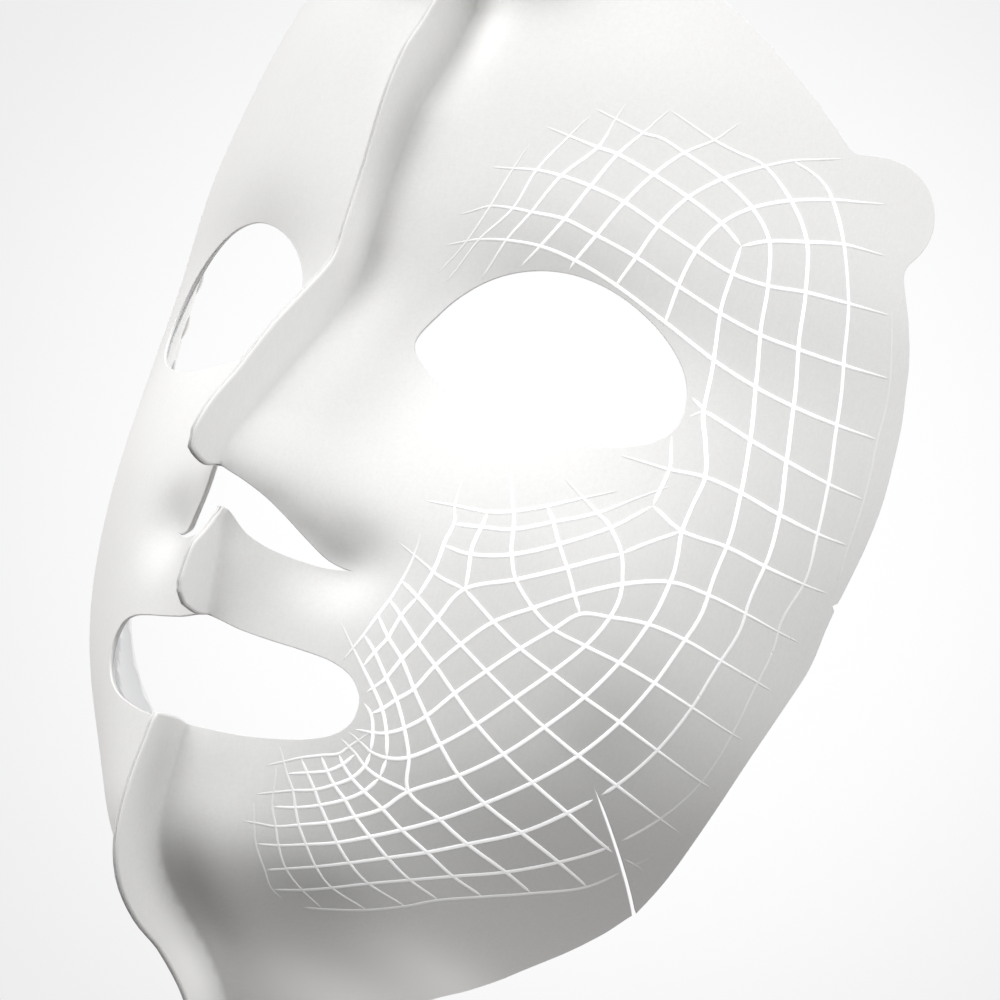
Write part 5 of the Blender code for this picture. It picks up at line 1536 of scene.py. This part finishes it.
def pillow(name, half_x, half_y, radius, low_z, high_z, soft, mat, move_x=0.0, steps=5):
    """A rounded block with soft top and bottom edges."""
    levels = [(soft * fall, low_z + soft * rise) for rise, fall in quarter(steps)]
    levels += [(soft * rise, high_z - soft * fall) for rise, fall in quarter(steps)]
    return loft(name, [ring_at(rounded(half_x - inset, half_y - inset, max(radius - inset, 0.1)),
                               z, move_x) for inset, z in levels], mat)


def lathe(name, profile, mat, centre_x=0.0, count=72, sharp=32):
    """A turned solid from (radius, z) points."""
    rings = [ring_at(disc(centre_x, radius, count), z) for radius, z in profile]
    return loft(name, rings, mat, sharp)


def cut_and_soften(obj, tools, bevel):
    """Cuts the tools out of obj and softens the sharp edges."""
    for tool in tools:
        cut = obj.modifiers.new(tool.name, "BOOLEAN")
        cut.operation, cut.solver, cut.object = "DIFFERENCE", "EXACT", tool
    edges = obj.modifiers.new("soft edges", "BEVEL")
    edges.limit_method, edges.angle_limit = "ANGLE", math.radians(40)
    edges.width, edges.segments = bevel * MM, 2
    even = obj.modifiers.new("even shading", "WEIGHTED_NORMAL")
    even.mode, even.weight = "FACE_AREA", 80
    if "sharp_edge" in obj.data.attributes:
        obj.data.attributes.remove(obj.data.attributes["sharp_edge"])
    bpy.context.view_layer.update()
    evaluated = obj.evaluated_get(bpy.context.evaluated_depsgraph_get())
    mesh = bpy.data.meshes.new_from_object(evaluated)
    obj.modifiers.clear()
    obj.data = mesh
    for tool in tools:
        bpy.data.objects.remove(tool)


def build_shell():
    rings = [ring_at(rounded(POD_X - 0.25, POD_Y - 0.25, 3.2), BASE_Z + 0.3),
             ring_at(rounded(POD_X, POD_Y, 3.4), BASE_Z + 0.55)]
    for rise, fall in quarter(8):
        inset = FRONT_EDGE * rise
        rings.append(ring_at(rounded(POD_X - inset, POD_Y - inset, 3.4 - 0.7 * inset),
                             FRONT_Z - FRONT_EDGE * fall))
    shell = loft("pod_shell", rings, SHELL_MAT)
    hollow = rounded(POD_X - WALL, POD_Y - WALL, 2.4)
    port = [upright(x, PORT_HALF, *PORT_Z, 0.9) for x in (-POD_X - 4, -POD_X + 2)]
    cut_and_soften(shell, [straight("cut_hollow", hollow, BASE_Z - 2, FRONT_Z - WALL),
                           straight("cut_button", disc(0, 4.3), 3, 12),
                           straight("cut_light", disc(LIGHT_X, 0.95, 32), 3, 12),
                           loft("cut_port", port, SHELL_MAT)], bevel=0.14)
    settle(shell, "mask", "pod_cover")


def build_foot():
    """The base, which spreads onto the forehead."""
    spread = rounded(POD_X + 0.35, POD_Y + 0.35, 3.7)
    waist = rounded(POD_X - 0.2, POD_Y - 0.2, 3.2)
    top = rounded(POD_X - 0.8, POD_Y - 0.8, 2.7)
    rings = [[(x * part, y * part, skin_z(x * part, y * part) + 0.04) for x, y in spread]
             for part in (0.04, 0.2, 0.4, 0.6, 0.8, 0.93, 1.0)]
    rings.append([(x, y, skin_z(x, y) * 0.55 + 0.75) for x, y in waist])
    rings.append(ring_at(top, 1.75))
    rings.append([(x * 0.995, y * 0.99, BASE_Z) for x, y in top])
    settle(loft("pod_foot", rings, SHELL_MAT), "mask", "pod_base")


def build_button():
    """The button cap with its dished top, its switch and the status light."""
    # (radius, z)
    cap = [(0.35, 4.35), (1.1, 4.35), (1.2, 4.45), (1.2, 4.9), (4.9, 4.9), (5.0, 5.0), (5.0, 5.6),
           (4.9, 5.7), (3.95, 5.7), (3.95, 7.72)]
    cap += [(3.95 - 0.38 * rise, 7.72 + 0.38 * (1 - fall)) for rise, fall in quarter(5, first=1)]
    cap += [(3.3, 8.09), (3.05, 8.02), (2.6, 7.93), (2.0, 7.87), (1.2, 7.83), (0.3, 7.82)]
    settle(lathe("pod_button_cap", cap, BUTTON_MAT), "power_button", "power_button")
    switch = pillow("tact_switch", half_x=1.9, half_y=1.9, radius=0.4, low_z=3.3, high_z=3.65,
                    soft=0.08, mat=METAL_MAT)
    settle(switch, "mask", "button_switch")
    pipe = [(0.5, 6.5), (0.7, 6.6), (0.7, 7.5)]
    pipe += [(0.7 * (1 - rise), 7.5 + 0.25 * (1 - fall)) for rise, fall in quarter(6)[1:-1]]
    pipe.append((0.05, 7.75))
    lens = lathe("light_pipe", pipe, LENS_MAT, centre_x=LIGHT_X, count=40, sharp=50)
    settle(lens, "mask", "status_lens")


# centre x and y, half sizes, top
CHIPS = [(-8.3, 2.9, 1.6, 1.6, 4.1), (-8.6, -2.6, 1.3, 1.0, 3.9), (-4.4, 3.9, 0.8, 0.5, 3.7),
         (-4.4, -3.9, 0.8, 0.5, 3.7), (3.6, 4.2, 0.6, 0.45, 3.6), (3.6, -4.2, 0.6, 0.45, 3.6)]


def build_board():
    """The circuit board with its chips, and the cell beside them."""
    board = pillow("circuit_board", half_x=17.7, half_y=5.6, radius=0.7, low_z=2.55, high_z=3.15,
                   soft=0.06, mat=BOARD_MAT, move_x=-0.1, steps=2)
    settle(board, "mask", "driver_board")
    for k, (x, y, half_x, half_y, top) in enumerate(CHIPS):
        body = rounded(half_x, half_y, 0.15, 4)
        lid = rounded(half_x - 0.12, half_y - 0.12, 0.1, 4)
        rings = [ring_at(body, 3.13, x, y), ring_at(body, top - 0.12, x, y), ring_at(lid, top, x, y)]
        settle(loft(f"board_chip_{k}", rings, DARK_MAT), "mask", None)
    cell = pillow("cell_pouch", half_x=6.0, half_y=4.6, radius=1.0, low_z=3.5, high_z=6.2, soft=0.55,
                  mat=CELL_MAT, move_x=11.4)
    settle(cell, "mask", "battery")


# distance in from the mouth, inset from the outside, corner radius
SOCKET_RINGS = [(6.8, 0, 1.2), (0.15, 0, 1.2), (0, 0.15, 1.1), (0, 0.45, 0.85), (0.15, 0.58, 0.76),
                (5.4, 0.58, 0.76)]


def build_socket():
    """The charging socket with its tongue and eight contacts."""
    rings = [upright(SOCKET_X + x, 4.3 - inset, 3.4 + inset, 6.15 - inset, radius)
             for x, inset, radius in SOCKET_RINGS]
    settle(loft("socket_shell", rings, METAL_MAT), "mask", "charge_socket")
    tongue = [upright(SOCKET_X + 0.5, 2.5, 4.5, 5.05, 0.2)]
    tongue += [upright(SOCKET_X + x, 2.6, 4.44, 5.11, 0.25) for x in (0.7, 5.5)]
    settle(loft("socket_tongue", tongue, DARK_MAT), "mask", None)
    for k in range(8):
        rings = [upright(SOCKET_X + x, 0.13, 4.40, 5.15, 0.05, y=-2.1 + 0.6 * k, steps=2)
                 for x in (1.0, 4.6)]
        settle(loft(f"socket_contact_{k}", rings, GOLD_MAT), "mask", None)


def build_lid():
    """The port's lid: a rounded plate with a plug on its inner face."""
    rings = []
    for rise, fall in quarter(6):
        inset = LID_ROUND * fall
        rings.append(upright(LID_X - 1.15 + LID_ROUND * rise, 5.3 - inset, 2.6 + inset,
                             6.8 - inset, 1.0 - 0.6 * inset))
    rings += [upright(LID_X - 0.12, 5.3, 2.6, 6.8, 1.0), upright(LID_X, 5.18, 2.72, 6.68, 0.9),
              upright(LID_X, 3.8, 3.7, 5.8, 0.6), upright(LID_X + 0.5, 3.8, 3.7, 5.8, 0.6),
              upright(LID_X + 0.8, 3.6, 3.9, 5.6, 0.55)]
    settle(loft("port_lid", rings, PORT_MAT), "port_flap", "port_flap")


build_shell()
build_foot()
build_button()
build_board()
build_socket()
build_lid()

# ================================================================= CAD nodes that stay in view
for name, node in frame["nodes"].items():
    if not node.hide_render:
        film = name in ("seam_film_upper", "seam_film_lip", "seam_film_chin")
        node.data.materials.clear()
        node.data.materials.append(FILM_MAT if film else SILICONE_MAT)

# ================================================================= camera, light, floor
AZIMUTH, ELEVATION, ROLL = math.radians(42.7), math.radians(-5.3), math.radians(14.9)
CAMERA_DISTANCE = 1.0                       # m from the design frame's origin
LENS, SENSOR = 214.2, 36                    # mm
# tangents by which the view turns from that origin, to the camera's right and down
AIM_RIGHT, AIM_DOWN = 0.02668908, 0.03235294

# lobes of light round the mask: direction towards it, strength, colour
WARM, PLAIN = (1.07, 0.99, 0.94), (1.0, 1.0, 1.0)
SOFT_BOXES = [
    ((-0.387, -0.775, 0.500), 2.03, PLAIN), ((0.010, -0.462, 0.887), 1.56, PLAIN),
    ((-0.494, 0.636, -0.593), 1.27, WARM), ((0.913, 0.014, 0.407), 0.94, PLAIN),
    ((-0.679, 0.602, 0.420), 0.66, PLAIN), ((0.946, 0.224, 0.233), 0.63, PLAIN),
    ((0.801, 0.307, 0.513), 0.44, PLAIN), ((-0.548, -0.807, 0.220), 0.24, PLAIN),
]
LOBE_POWER = 4.0
FLOOR_RADIUS, FLOOR_Z = 1.6, -0.1034        # m


def build_camera():
    back = np.array([math.sin(AZIMUTH) * math.cos(ELEVATION),
                     -math.cos(AZIMUTH) * math.cos(ELEVATION), math.sin(ELEVATION)])
    level = np.array([math.cos(AZIMUTH), math.sin(AZIMUTH), 0])
    upward = np.cross(back, level)
    right = level * math.cos(ROLL) + upward * math.sin(ROLL)
    up = -level * math.sin(ROLL) + upward * math.cos(ROLL)
    z_axis = -unit(-back + right * AIM_RIGHT - up * AIM_DOWN)
    x_axis = unit(np.cross(up, z_axis))
    y_axis = np.cross(z_axis, x_axis)
    turn = Matrix([[x_axis[i], y_axis[i], z_axis[i], 0] for i in range(3)] + [[0, 0, 0, 1]])
    data = bpy.data.cameras.new("camera")
    data.sensor_width, data.lens = SENSOR, LENS
    data.clip_start, data.clip_end = 0.05, 50
    camera = bpy.data.objects.new("camera", data)
    bpy.context.scene.collection.objects.link(camera)
    camera.matrix_world = Matrix.Translation(Vector(back * CAMERA_DISTANCE - CENTRE * MM)) @ turn
    bpy.context.scene.camera = camera


def build_world():
    """Soft boxes light the mask; the camera sees a pale backdrop that darkens away from its middle."""
    world = bpy.data.worlds.new("studio")
    bpy.context.scene.world = world
    world.use_nodes = True
    tree = world.node_tree
    coords = add_node(tree, "TexCoord", {})
    light = None
    for direction, strength, colour in SOFT_BOXES:
        facing = vector_maths(tree, "DOT_PRODUCT", coords.outputs["Generated"], tuple(unit(direction)))
        lobe = maths(tree, "POWER", maths(tree, "MAXIMUM", facing, 0.0), LOBE_POWER)
        tinted = vector_maths(tree, "SCALE", tuple(strength * c for c in colour), Scale=lobe)
        light = vector_maths(tree, "ADD", light, tinted) if light else tinted
    lit = tree.nodes["Background"]
    feed(tree, lit, {"Color": light})
    middle = (0.58, 0.50, 0)
    off = vector_maths(tree, "SUBTRACT", coords.outputs["Window"], middle)
    away = vector_maths(tree, "LENGTH", off)
    seen = add_node(tree, "Background", {
        "Color": (1.0, 1.0, 1.005, 1),
        "Strength": map_range(tree, away, (0.25, 0.85), (1.0, 0.84), kind="SMOOTHSTEP")})
    camera_ray = add_node(tree, "LightPath", {}).outputs["Is Camera Ray"]
    pick = add_node(tree, "MixShader", {"Fac": camera_ray, 1: lit.outputs[0], 2: seen.outputs[0]})
    feed(tree, tree.nodes["World Output"], {"Surface": pick.outputs[0]})


def floor_material():
    """Matt pale grey that fades out with distance, at grazing angles and from below."""
    mat, tree, shader = new_material("floor")
    grain = noise(tree, scale=60)
    feed(tree, shader, {
        "Base Color": mix_colour(tree, grain, (0.82, 0.82, 0.82), (0.87, 0.87, 0.87)),
        "Roughness": 0.9,
        "Specular IOR Level": 0.0,
    })
    distance = vector_maths(tree, "LENGTH", coordinates(tree))
    facing = add_node(tree, "NewGeometry", {}).outputs
    steep = vector_maths(tree, "DOT_PRODUCT", facing["Incoming"], facing["Normal"])
    far = ease(tree, distance, zero=0.10, one=0.33)
    gone = maths(tree, "MAXIMUM", far, facing["Backfacing"])
    gone = maths(tree, "MAXIMUM", gone, ease(tree, steep, zero=0.10, one=0.03))
    clear = add_node(tree, "BsdfTransparent", {}).outputs[0]
    both = add_node(tree, "MixShader", {"Fac": gone, 1: shader.outputs[0], 2: clear})
    feed(tree, tree.nodes["Material Output"], {"Surface": both.outputs[0]})
    return mat


def build_floor():
    """A pale floor just under the mask, which only the camera sees."""
    work = bmesh.new()
    bmesh.ops.create_circle(work, cap_ends=True, segments=160, radius=FLOOR_RADIUS)
    mesh = bpy.data.meshes.new("floor")
    work.to_mesh(mesh)
    work.free()
    floor = bpy.data.objects.new("floor", mesh)
    floor.location = (0, 0, FLOOR_Z)
    bpy.context.scene.collection.objects.link(floor)
    mesh.materials.append(floor_material())
    floor.visible_diffuse = floor.visible_glossy = False
    floor.visible_transmission = floor.visible_shadow = False


build_camera()
build_world()
bpy.context.scene.view_settings.view_transform = "Standard"
build_floor()
